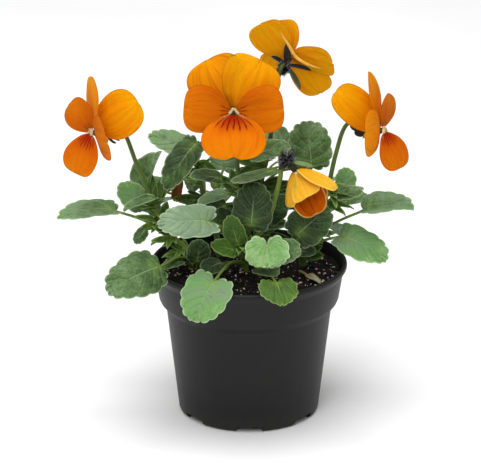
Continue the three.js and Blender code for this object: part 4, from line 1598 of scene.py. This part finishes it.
@dataclass(frozen=True)
class Bloom:
    """One bloom: five petals, its throat with a beard on each side, and its spur.

    crook is where its stalk passes behind it, ears are the short ends of its sepals, and creases
    are folded petal edges. sepals are their lengths and directions, unless they stand in a ring.
    """

    name: str
    centre: Point
    front: Point
    crook: tuple[Point, ...]
    petals: tuple[Petal, ...] = OPEN_FAN
    up: Point = (0, 0, 1)
    sepals: tuple[Point, ...] = ()
    sepal_tones: tuple[float, ...] = (0.3, 0.45, 0.3, 0.4, 0.35)
    back: PetalFinish = PETAL_BACK
    sepal_face: Point | None = None
    sepal_width: float = 3.8
    ears: float = 3.2
    creases: tuple[tuple[Point, ...], ...] = ()
    crease_radii: tuple[float, ...] = (0.15, 0.8, 0.9, 0.8, 0.15)
    hairs: int = 40
    hair_length: float = 1.7
    stalk_radius: float = 1.15
    stalk_tone: float = 0.3
    petal_foot: float = 1.5
    throat_radius: float = 1.9
    throat_knob: Point = (1.6, 1.6, 2.0)
    spur_radius: float = 1.1
    spur_drop: float = 3.4
    spur_back: float = -7.2
    beard_hairs: int = 70
    down_hairs: int = 8
    seed: int = 5

    THROAT_LEVELS = (-3.2, -1.5, 0.4, 1.5)  # ahead of the centre
    THROAT_TAPER = (1.0, 1.0, 0.8, 0.5)
    SPUR_TAPER = (1.0, 1.0, 1.1, 0.5)
    LOT = 3.1  # what sets the streaks of one petal apart from the next one's

    @property
    def ahead(self) -> Vector:
        """The way the bloom faces."""
        return Vector(self.front).normalized()

    @property
    def upward(self) -> Vector:
        """Its own upward direction."""
        return framed(self.ahead, Vector(self.up))[1]

    @property
    def right(self) -> Vector:
        """Its right, as seen from its front."""
        return self.upward.cross(self.ahead)

    def way(self, x: float, y: float, z: float) -> Vector:
        """A direction: so far to the right, up and ahead."""
        return self.right * x + self.upward * y + self.ahead * z

    def place(self, x: float, y: float, z: float) -> Vector:
        """A place beside its centre: so far to the right, up and ahead."""
        return Vector(self.centre) + self.right * x + self.upward * y + self.ahead * z

    def ray(self, clock: float, tilt: float) -> tuple[Vector, Vector]:
        """A direction in its face and what a petal faces there.

        Args:
            clock: Degrees from straight up, clockwise from the front.
            tilt: Degrees of lean towards the front.

        Returns:
            The direction and the face.
        """
        spin, lean = math.radians(clock), math.radians(tilt)
        level = self.upward * math.cos(spin) + self.right * math.sin(spin)
        way = level * math.cos(lean) + self.ahead * math.sin(lean)
        return way, self.ahead * math.cos(lean) - level * math.sin(lean)

    def build(self) -> Model:
        """Makes the bloom.

        Returns:
            The bloom's piece.
        """
        model = Model(f"bloom_{self.name}", f"petals_{self.name}", Slot.PETAL)
        for i, petal in enumerate(self.petals):
            if petal.aim:
                aim = Vector(petal.aim)
                way, face, length = aim.normalized(), Vector(petal.front), aim.length
            else:
                way, face = self.ray(petal.clock, petal.tilt)
                length = petal.length
            heart = self.place(0, 0, petal.layer)
            foot, tip = heart + way * self.petal_foot, heart + way * length
            blade = Blade(
                petal.form, foot, tip, petal.width, face, petal.finish, self.back, self.LOT * i
            )
            blade.build(model)
        # The folded edges carry a painted highlight.
        for crease in self.creases:
            model.stalk(Path(crease), self.crease_radii, CREASE, 0.5, sides=10, steps=24)
        self.build_throat(model)
        self.build_beards(model)
        return model

    def build_throat(self, model: Model) -> None:
        """Adds the throat and the spur.

        Args:
            model: The bloom's piece.
        """
        throat = Path([self.place(0, -0.3, z) for z in self.THROAT_LEVELS])
        radii = [share * self.throat_radius for share in self.THROAT_TAPER]
        model.stalk(throat, radii, THROAT, 0.5, sides=18, steps=8)
        knob = Vector(self.throat_knob)
        model.lump(self.place(0, -0.2, 2.0), knob, Matrix.Identity(4), THROAT, 2)
        points = [(0, -1, -1), (0, -self.spur_drop, -3), (0, -self.spur_drop - 0.6, self.spur_back)]
        spur = Path([self.place(*p) for p in points])
        radii = [share * self.spur_radius for share in self.SPUR_TAPER]
        model.stalk(spur, radii, self.back, 0.5, sides=14, steps=14)

    def build_beards(self, model: Model) -> None:
        """Adds the short beards above the throat and the long down beside it.

        Args:
            model: The bloom's piece.
        """
        draw = random.Random(self.seed)
        for side in (-1, 1):
            # The beard slopes down and out from above the throat.
            for _ in range(self.beard_hairs):
                x = side * (0.5 + 2.1 * draw.random())
                y = 2.2 - 1.1 * abs(x) + draw.gauss(0, 0.3)
                root = self.place(x, y, 1.2 + 0.4 * draw.random())
                way = self.way(-0.3 * side + draw.gauss(0, 0.3), -0.5 + draw.gauss(0, 0.3), 1.0)
                model.hair(root, way, draw.uniform(1.1, 2.0), 0.3, BEARD)
            # The down stands out to the side, and hangs a little.
            for _ in range(self.down_hairs):
                root = self.place(side * 2.2, -1.2 - 0.6 * draw.random(), 1.6)
                way = self.way(side, -draw.uniform(0.25, 0.6), 0.25)
                model.hair(root, way, draw.uniform(3.0, 6.0), 0.16, DOWN)


# The blooms and shoots of this plant

FRONT_BLOOM = Bloom("front", (-8, -25, 175.5), (0, -0.966, 0.259), ((-7, -9, 164), (-7.5, -11, 171)))
LEFT_BLOOM = Bloom(
    "left",
    centre=(-81, -10, 159.5),
    front=(-0.93, -0.32, 0.15),
    crook=((-68.5, 6, 158), (-73, -1, 161.5)),
    petals=(
        bent(UPPER, (-3, 6, 28.5), (-0.94, -0.3, 0.05), 23, finish=PETAL_EDGE_LIT),
        bent(UPPER_RIGHT, (22, -1.1, 17), (-0.25, -0.85, 0.45), 27, taper=0.0),
        bent(SIDE, (-13, 7.5, 13.4), (-0.8, -0.55, 0.2), 21),
        bent(SIDE_RIGHT, (8, -20, 1.7), (-0.9, -0.38, -0.19), 25),
        bent(TURNED, (-9, -6, -20.8), (-0.75, -0.62, 0.25), 27, blunt=0.5),
    ),
    sepals=((9, 3, 2), (5, 7, 5), (3, 9, -2), (6, 4, -7), (8, 2, -5)),
)
RIGHT_BLOOM = Bloom(
    "right",
    centre=(69.2, -5, 159),
    front=(0.93, -0.33, 0.15),
    crook=((56, 5, 161.5), (60.5, 1, 161.5)),
    petals=(
        bent(UPPER_RIGHT, (-24.5, -0.6, 21.5), (0.25, -0.85, 0.45), 21, taper=0.0, layer=0.5),
        bent(UPPER_RIGHT, (-5.5, 6.6, 30), (0.93, -0.3, 0.2), 18, blunt=1.0, finish=PETAL_EDGE_LIT),
        bent(SIDE, (-9.5, -20, 4), (0.92, -0.38, 0.05), 25, finish=PETAL_EDGE_LIT),
        bent(SIDE_RIGHT, (5.5, 8, 17), (0.9, -0.4, 0.1), 18),
        bent(TURNED, (8.7, -6, -19.5), (0.75, -0.62, 0.25), 23),
    ),
    sepals=((-11, 1.5, 2), (-5, 7, 6), (-3, 9, -1), (-8.5, 3, -2.5), (-3, 9, -7)),
    sepal_tones=(0.1, 0.3, 0.3, 0.1, 0.3),
    sepal_face=(0.3, -0.9, 0.3),
    sepal_width=5,
)
BACK_BLOOM = Bloom(
    "back",
    centre=(21.2, 29.2, 188.6),
    front=(0.35, 0.75, 0.55),
    crook=((16, 19, 182), (17.5, 20.5, 186)),
    petals=(
        bent(UPPER, (-14.5, -3.8, 20.9), (0.2, 0.95, 0.1), 22),
        bent(UPPER_RIGHT, (-3.5, 4.7, 19.6), (0.3, 0.9, 0.1), 17, layer=-0.6),
        bent(SIDE, (-12, 14.2, -10.6), (0.5, 0.7, 0.5), 16),
        bent(SIDE_RIGHT, (23.2, -12.3, -0.3), (0.3, 0.8, 0.5), 22),
        bent(TURNED, (17.4, 2.8, -21.8), (0.4, 0.85, 0.3), 23),
    ),
    sepals=((8, -1, -13.3), (13.9, 0, -3.4), (-7.5, 0, 4.6), (1.2, -1, 12.5), (-6, -1, -8)),
    sepal_tones=(0.6, 0.1, 0.0, 0.0, 0.1),
    sepal_width=3.9,
    ears=4.2,
    hairs=500,
    hair_length=2.8,
    stalk_tone=0.0,
    creases=(
        ((16.7, 16.7, 205.6), (21, 19.2, 198), (25.2, 22, 190.5), (31, 21.5, 187), (38, 21, 184.7)),
    ),
)
NODDING_BLOOM = Bloom(
    "nodding",
    centre=(24, -21, 142.2),
    front=(0.61, -0.42, -0.67),
    crook=((17, -15, 150), (19.5, -16, 149.5)),
    petals=(
        bent(HOOD, (22, -9.4, -7.8), (-0.25, 0.12, -0.965), 14, arch=-0.14),
        bent(HOOD, (15.5, 1.5, -18.3), (-0.2, -0.77, 0.5), 13),
        bent(HOOD, (-3.3, -5.7, -19.2), (0.9, 0.34, -0.23), 14),
        bent(HOOD, (11.6, -5.7, -23.5), (0.1, -0.84, 0.47), 18.6),
        bent(HOOD, (7.1, -13.4, -10.9), (0.35, 0.65, -0.67), 11.5, form=FACET_FORM),
    ),
    up=(0, -0.94, 0.34),
    sepals=((13, -4, -1.6), (3, 6, 5), (1, -8, 1.5), (-5, -4, -3), (-4, 4, 3)),
    sepal_tones=(1.0, 0.2, 0.3, 0.2, 0.2),
    back=HOOD_OUTSIDE,
    sepal_face=(0, -0.5, 0.87),
    sepal_width=3,
    hairs=650,
    hair_length=4.2,
    stalk_radius=1.4,
    stalk_tone=0.75,
)
BLOOMS = (FRONT_BLOOM, LEFT_BLOOM, RIGHT_BLOOM, BACK_BLOOM, NODDING_BLOOM)

LEFT_SHOOT = Shoot(
    "left",
    stem=((-30, -2), (-38, -1, 94), (-47, 0, 106), (-51, 2, 117)),
    radius=2.5,
    leaves=(
        broad(
            0.62, (-70, -5, 113.5), (-101, -12, 112), 17, (0, -0.25, 0.97), Tone.GREY, fold=0.25,
            heart=0.1,
        ),
        broad(0.3, (-46, -28, 91), (-74, -42, 82.3), 25.5, (-0.2, -0.75, 0.6), Tone.MID, 0.1, heart=0.04),
        small(
            0.92, (-52.5, 12, 119), (-46.6, 22, 138), 18, (-0.75, -0.65, 0.1), Tone.MID, taper=0.4,
            fold=0.8, blunt=1.1,
        ),
        small(0.95, (-56, 4, 114), (-69, 0, 127), 14, (-0.2, -0.8, 0.5), Tone.FRESH),
        small(0.97, (-50, -4, 120), (-66, -12, 116), 8, (0, -0.2, 1), Tone.MID, arch=0.14),
        small(0.7, (-55, -10, 105), (-60, -15, 99), 7, (-0.2, -0.9, 0.4), Tone.DARK),
        small(0.2, (-28, -13, 88), (-26, -11, 100), 13, (0.2, -0.95, 0.2), Tone.DARK),
        small(0.22, (-36, -13, 88), (-45, -24, 88), 8, (-0.1, -0.5, 0.9), Tone.DARK),
        small(0.55, (-50, 18, 104), (-69, 30, 109), 16, (-0.2, 0.1, 1), Tone.MID),
    ),
    stipules=(
        Stipule(0.8, (-0.6, -0.7, 0.2)),
        Stipule(0.95, (0.3, -0.6, 0.6)),
        Stipule(0.7, (-0.6, -0.6, 0.5), 15, 4),
        Stipule(0.6, (-0.5, -0.8, -0.1), 14, 3.4),
        Stipule(0.85, (0.5, -0.8, 0.3), 14, 4),
        Stipule(0.92, (-0.8, -0.5, 0.3), 14, 3.5),
        Stipule(0.45, (-0.7, -0.7, -0.3), 13, 3),
        fan(0.38, (-0.8, -0.3, 0.35), 15),
        fan(0.6, (-0.7, -0.5, 0.4), 15),
        fan(0.8, (-0.85, -0.4, 0.1), 15),
        tuft(0.75, (0.35, -0.1, 0.9), 14),
        tuft(0.97, (0.1, 0.3, 0.9), 16),
    ),
    bloom=LEFT_BLOOM,
    stalk=((-50, 1.5, 114), (-59, 5, 135), (-65, 8, 151)),
    tone=0.9,
)
FRONT_SHOOT = Shoot(
    "front",
    stem=((-2, -8), (-2, -11, 92), (-1, -15, 98)),
    radius=2.0,
    leaves=(
        broad(
            0.55, (-18, -45, 89.5), (-29, -60, 73), 25, (-0.1, -0.75, 0.65), Tone.FRESH, 0.12,
            heart=0.22,
        ),
        broad(
            0.6, (14, -49, 90), (17, -63, 83), 20, (0.1, -0.4, 0.9), Tone.MID, 0.12, YOUNG_LEAF,
            heart=0.22,
        ),
        broad(
            0.95, (-21, -36, 119), (-47, -44, 120), 19, (0, -0.72, 0.7), Tone.GREY, 0.06, FROSTED_SHEEN_LEAF,
            heart=0.28,
        ),
        broad(0.98, (1, -27, 113), (3, -17, 134), 21, (0.05, -0.9, 0.4), Tone.DEEP),
        broad(
            0.9, (9.3, -42, 107), (9.7, -48, 98), 23, (0, -0.8, 0.6), Tone.PALE, heart=0.7, fold=0.1,
            ruffle=0.07,
        ),
        small(0.85, (15, -28, 99), (27, -38, 102), 15, (0.2, -0.8, 0.55), Tone.MID),
        small(0.9, (-5, -29, 103), (-10, -29, 120), 12, (-0.15, -0.95, 0.1), Tone.DARK, YOUNG_LEAF),
        small(0.8, (-7, -29, 100), (-20, -36, 106), 9.5, (0, -0.8, 0.6), Tone.MID, YOUNG_LEAF),
        small(0.6, (4, -33, 92), (15, -43, 92), 12, (0.1, -0.5, 0.85), Tone.DARK),
        small(0.5, (-14, -18, 89), (-24, -30, 88), 13, (-0.2, -0.6, 0.8), Tone.DEEP),
    ),
    stipules=(
        Stipule(0.9, (0.1, -0.9, 0.1)),
        Stipule(0.98, (-0.3, -0.5, 0.8)),
        Stipule(0.95, (0.03, -0.95, 0.3), 23, 5.5, (-0.12, 0.14, -0.4, 0.45, -0.8)),
        Stipule(0.9, (-0.1, -0.97, 0.25), 27, 6, (-0.1, 0.05, -0.25, 0.2)),
    ),
    bloom=NODDING_BLOOM,
    stalk=((-1.5, -12, 94), (5, -12, 103), (10, -12, 111), (14, -15, 126), (16.5, -17, 138)),
)
RIGHT_SHOOT = Shoot(
    "right",
    stem=((29, 3), (34, 4, 98), (40, 4, 114), (42, 3, 127)),
    radius=1.8,
    leaves=(
        broad(0.35, (49, -3, 98.5), (73, -13, 89), 20, (0.1, -0.6, 0.8), Tone.FRESH),
        broad(
            0.42, (60.5, 0, 112.3), (87.2, -5, 115.2), 18, (0, -0.32, 0.95), Tone.GREY, heart=0.1,
            fold=0.25, arch=0.16,
        ),
        broad(0.5, (25, -13, 103), (42, -5, 116), 21, (0.1, -0.88, 0.47), Tone.DARK),
        small(0.9, (50.5, 12, 119.5), (52, 15, 131.3), 12, (0.25, -0.95, 0.25), Tone.FRESH),
        small(0.92, (47, -2, 121), (60, -7, 125), 9, (0, -0.6, 0.8), Tone.MID),
        small(0.2, (27, -4, 90), (35, -12, 92), 9, (0.1, -0.6, 0.8), Tone.DARK),
        small(0.6, (50, 26, 106), (66, 37, 107), 17, (0.1, 0, 1), Tone.MID),
    ),
    stipules=(
        Stipule(0.85, (0.7, -0.5, 0.5)),
        Stipule(0.97, (0.5, -0.6, 0.2)),
        Stipule(0.9, (0.9, -0.3, 0.1), 20, 5),
        Stipule(0.8, (0.9, -0.4, -0.2), 16, 4.5),
        Stipule(0.95, (0.6, -0.6, -0.5), 15, 4),
        fan(0.5, (0.85, -0.3, 0.35), 14),
        tuft(0.3, (0.85, -0.3, 0.3), 12),
    ),
    bloom=RIGHT_BLOOM,
    stalk=((41.8, 3.2, 122), (46, 5.5, 142), (51, 7.5, 157)),
)
CENTRE_SHOOT = Shoot(
    "centre",
    stem=((0, 9), (-1, 4, 106), (-4, -5, 122), (-6, -9, 132)),
    leaves=(
        small(0.92, (-14, -3, 130), (-31, -10, 135), 10, (0, -0.5, 0.86), Tone.DARK),
        small(0.8, (-11, 2, 121), (-27, -8, 118), 9, (0, -0.35, 0.95), Tone.GREY),
        small(0.97, (14, -6, 138), (-9, -24, 137), 12, (-0.1, -0.1, 1), Tone.MID, arch=-0.04),
        small(0.55, (8, 0, 108), (20, -4, 122), 15, (0.1, -0.9, 0.4), Tone.DARK),
        small(0.6, (-9, -4, 106), (-21, -12, 112), 15, (-0.2, -0.8, 0.6), Tone.DARK),
        small(0.75, (-12, 4, 114), (-25, 2, 106), 13, (-0.1, -0.8, 0.6), Tone.DEEP),
    ),
    stipules=(
        Stipule(0.97, (0.5, -0.4, 0.6)),
        tuft(0.85, (-0.55, 0.2, 0.75), 15),
        tuft(0.55, (-0.8, 0, 0.4), 15),
        tuft(0.5, (0.95, 0.1, 0.25), 22),
    ),
    bloom=FRONT_BLOOM,
    stalk=((-5.7, -8.5, 130), (-6, -11, 140), (-6.5, -11, 152)),
)
CENTRE_BACK_SHOOT = Shoot(
    "centre_back",
    stem=((4, 22), (4, 20, 106), (7, 17, 124), (11, 15, 140)),
    leaves=(
        broad(
            0.8, (33.5, 15, 131), (31, 25, 154), 23.5, (0.05, -0.92, 0.4), Tone.MID, taper=0.1,
            heart=0.12,
        ),
        small(0.9, (1, 6, 140), (22, 10, 145), 12, (0, -0.6, 0.8), Tone.MID),
        small(0.95, (19, 28, 138), (11, 38, 145), 15, (-0.2, -0.8, 0.6), Tone.GREY),
        small(0.7, (22, 34, 126), (34, 48, 126), 17, (0.2, 0.2, 1), Tone.MID),
        small(0.55, (20, 14, 112), (33, 10, 126), 15, (0.1, -0.85, 0.5), Tone.DARK),
        small(0.6, (4, 11, 122), (-8, 10, 130), 14, (-0.1, -0.85, 0.5), Tone.DARK),
    ),
    stipules=(
        Stipule(0.95, (0.5, -0.5, 0.4)),
        tuft(0.3, (0.8, -0.5, 0.4), 22),
        tuft(0.9, (-1, -0.4, 0), 18),
        tuft(0.7, (0.9, -0.3, 0), 21),
    ),
    bloom=BACK_BLOOM,
    stalk=((10.2, 15.3, 137), (12, 18, 152), (14.5, 20, 172)),
)
LEFT_BACK_SHOOT = Shoot(
    "left_back",
    stem=((-16, 15), (-21, 18, 104), (-26, 18, 122), (-28, 17, 134)),
    leaves=(
        broad(0.98, (-29, 32, 133), (-54, 30, 144), 16, (-0.1, -0.55, 0.83), Tone.GREY),
        broad(
            0.99, (-27, 5, 149), (-44, -5, 126), 16, (-0.5, -0.85, 0.2), Tone.DARK, 0.2, heart=0.12,
            fold=0.3,
        ),
        small(0.7, (-24, 32, 122), (-34, 40, 112), 12, (0, -0.8, 0.5), Tone.DARK),
        small(0.9, (-16, 30, 136), (-6, 42, 142), 16, (0.1, 0.2, 1), Tone.MID),
        small(0.6, (-44, 30, 112), (-62, 40, 116), 18, (-0.2, 0.2, 1), Tone.MID),
        small(0.62, (-30, 9, 108), (-39, -2, 104), 13, (-0.2, -0.8, 0.6), Tone.DARK),
    ),
    stipules=(
        Stipule(0.95, (0.4, -0.6, 0.6)),
        tuft(0.65, (-0.85, -0.5, 0), 20),
        tuft(0.55, (-0.5, -0.8, 0.1), 17),
        tuft(0.97, (0.6, -0.6, -0.1), 13),
    ),
)
BACK_LEFT_SHOOT = Shoot(
    "back_left",
    stem=((-9, 32), (-13, 38, 98), (-18, 43, 110)),
    leaves=(
        broad(0.4, (-13, 48, 91), (-20, 64, 76), 24, (-0.1, 0.75, 0.65), Tone.MID, heart=0.24),
        small(0.6, (-30, 50, 100), (-49, 60, 95), 20, (-0.3, 0.4, 0.9), Tone.GREY),
        small(0.95, (-26, 50, 118), (-42, 58, 122), 17, (-0.3, 0.5, 0.8), Tone.MID),
        small(0.98, (-14, 50, 118), (-10, 58, 134), 16, (0, 0.9, 0.4), Tone.MID),
        small(0.8, (-4, 54, 106), (4, 68, 106), 17, (0.1, 0.4, 0.9), Tone.FRESH),
    ),
    stipules=(
        Stipule(0.95, (0.2, 0.7, 0.6)),
    ),
)
BACK_RIGHT_SHOOT = Shoot(
    "back_right",
    stem=((24, 27), (30, 34, 98), (34, 40, 111)),
    leaves=(
        broad(0.35, (40, 32, 93), (57, 44, 78), 23, (0.5, 0.6, 0.7), Tone.MID, heart=0.24),
        small(0.6, (46, 40, 102), (66, 48, 100), 20, (0.2, 0.3, 0.95), Tone.MID),
        small(0.9, (42, 50, 110), (55, 60, 108), 18, (0.3, 0.5, 0.8), Tone.FRESH),
        small(0.97, (26, 48, 118), (22, 60, 128), 17, (0, 0.6, 0.8), Tone.GREY),
        small(0.7, (22, 50, 96), (20, 66, 90), 20, (0, 0.4, 0.9), Tone.MID),
    ),
    stipules=(
        Stipule(0.95, (0.6, 0.5, 0.6)),
    ),
)
SHOOTS = (
    LEFT_SHOOT, FRONT_SHOOT, RIGHT_SHOOT, CENTRE_SHOOT, CENTRE_BACK_SHOOT, LEFT_BACK_SHOOT,
    BACK_LEFT_SHOOT, BACK_RIGHT_SHOOT,
)


@dataclass(frozen=True)
class LooseLeaf:
    """A dry leaf, caught among the stems or fallen on the soil."""

    name: str
    foot: Point
    leaf: Leaf

    def build(self) -> Model:
        """Makes the leaf.

        Returns:
            The leaf's piece.
        """
        model = Model(f"dry_leaf_{self.name}", f"leaf_{self.name}", Slot.DRY)
        self.leaf.build(model, Vector(self.foot))
        return model


def dry(base: Point, tip: Point, width: float, face: Point, tone: float, **bend: float) -> Leaf:
    """A dry leaf, with what differs from its form."""
    form = replace(SMALL_FORM, ruffle=0.12, **bend)
    return Leaf(0, base, tip, width, face, tone, form, front=DRY_LEAF, back=DRY_LEAF)


LOOSE_LEAVES = (
    LooseLeaf(
        "withered", (-29.1, 17, 127.5),
        dry((-36, 13.5, 126), (-39, 13, 113), 6, (-0.4, -0.9, 0.1), 0.2, fold=0.5),
    ),
    LooseLeaf(
        "fallen", (27, -10, 81.4),
        dry((31, -16, 81.4), (37.5, -27, 80.8), 5, (0.1, -0.2, 1), 0.95, fold=0.3, arch=0.05),
    ),
)


# Studio


@dataclass(frozen=True)
class Lamp:
    """A soft square lamp, in metres and watts."""

    name: str
    place: Point
    size: float
    power: float

    def build(self, target: Vector) -> None:
        """Hangs the lamp.

        Args:
            target: What it is turned to.
        """
        light = bpy.data.lights.new(self.name, "AREA")
        light.size = self.size
        light.energy = self.power
        lamp = shown(self.name, light)
        lamp.location = self.place
        lamp.rotation_euler = (target - lamp.location).to_track_quat("-Z", "Y").to_euler()


@dataclass(frozen=True)
class Studio:
    """A white floor, a bright room, soft lamps and the camera, in metres."""

    floor: float = 12.0
    room: float = 0.4
    eye: Point = (-0.00449, -1.50159, 0.64925)
    target: Point = (-0.00449, 0.0, 0.09677)
    lens: float = 224.5
    sensor: float = 36.0
    far: float = 30.0
    lamps: tuple[Lamp, ...] = (
        Lamp("front", (-0.4, -1.7, 1.5), 1.2, 16.0),
        Lamp("above", (-0.1, 0.0, 1.7), 1.5, 28.0),
    )

    def build(self) -> None:
        """Sets up everything round the plant."""
        self.build_room()
        self.build_camera()
        for lamp in self.lamps:
            lamp.build(Vector(self.target))

    def build_room(self) -> None:
        """Lays the floor and lights the room."""
        bm = bmesh.new()
        bmesh.ops.create_grid(bm, x_segments=1, y_segments=1, size=0.5 * self.floor)
        mesh = mesh_of("floor", bm)
        mesh.materials.append(material_of(WHITE_FLOOR))
        shown("floor", mesh)
        world = bpy.data.worlds.new("room")
        world.use_nodes = True
        world.node_tree.nodes["Background"].inputs["Color"].default_value = (1, 1, 1, 1)
        world.node_tree.nodes["Background"].inputs["Strength"].default_value = self.room
        bpy.context.scene.world = world
        bpy.context.scene.view_settings.view_transform = "Standard"

    def build_camera(self) -> None:
        """Sets the camera up."""
        lens = bpy.data.cameras.new("camera")
        lens.lens = self.lens
        lens.sensor_width = self.sensor
        lens.clip_end = self.far
        camera = shown("camera", lens)
        camera.location = self.eye
        look = Vector(self.target) - Vector(self.eye)
        camera.rotation_euler = look.to_track_quat("-Z", "Y").to_euler()
        bpy.context.scene.camera = camera


def main() -> None:
    """Builds the plant piece by piece and logs how many faces each piece has."""
    logging.basicConfig(level=logging.INFO, format="%(message)s")
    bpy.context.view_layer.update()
    Studio().build()
    pot = NurseryPot()
    makers = [pot, PottingSoil(pot), *SHOOTS, *BLOOMS, *LOOSE_LEAVES]
    for maker in makers:
        piece = maker.build().object()
        log.info("%s: %d faces", piece.name, len(piece.data.polygons))


if __name__ == "__main__":
    main()
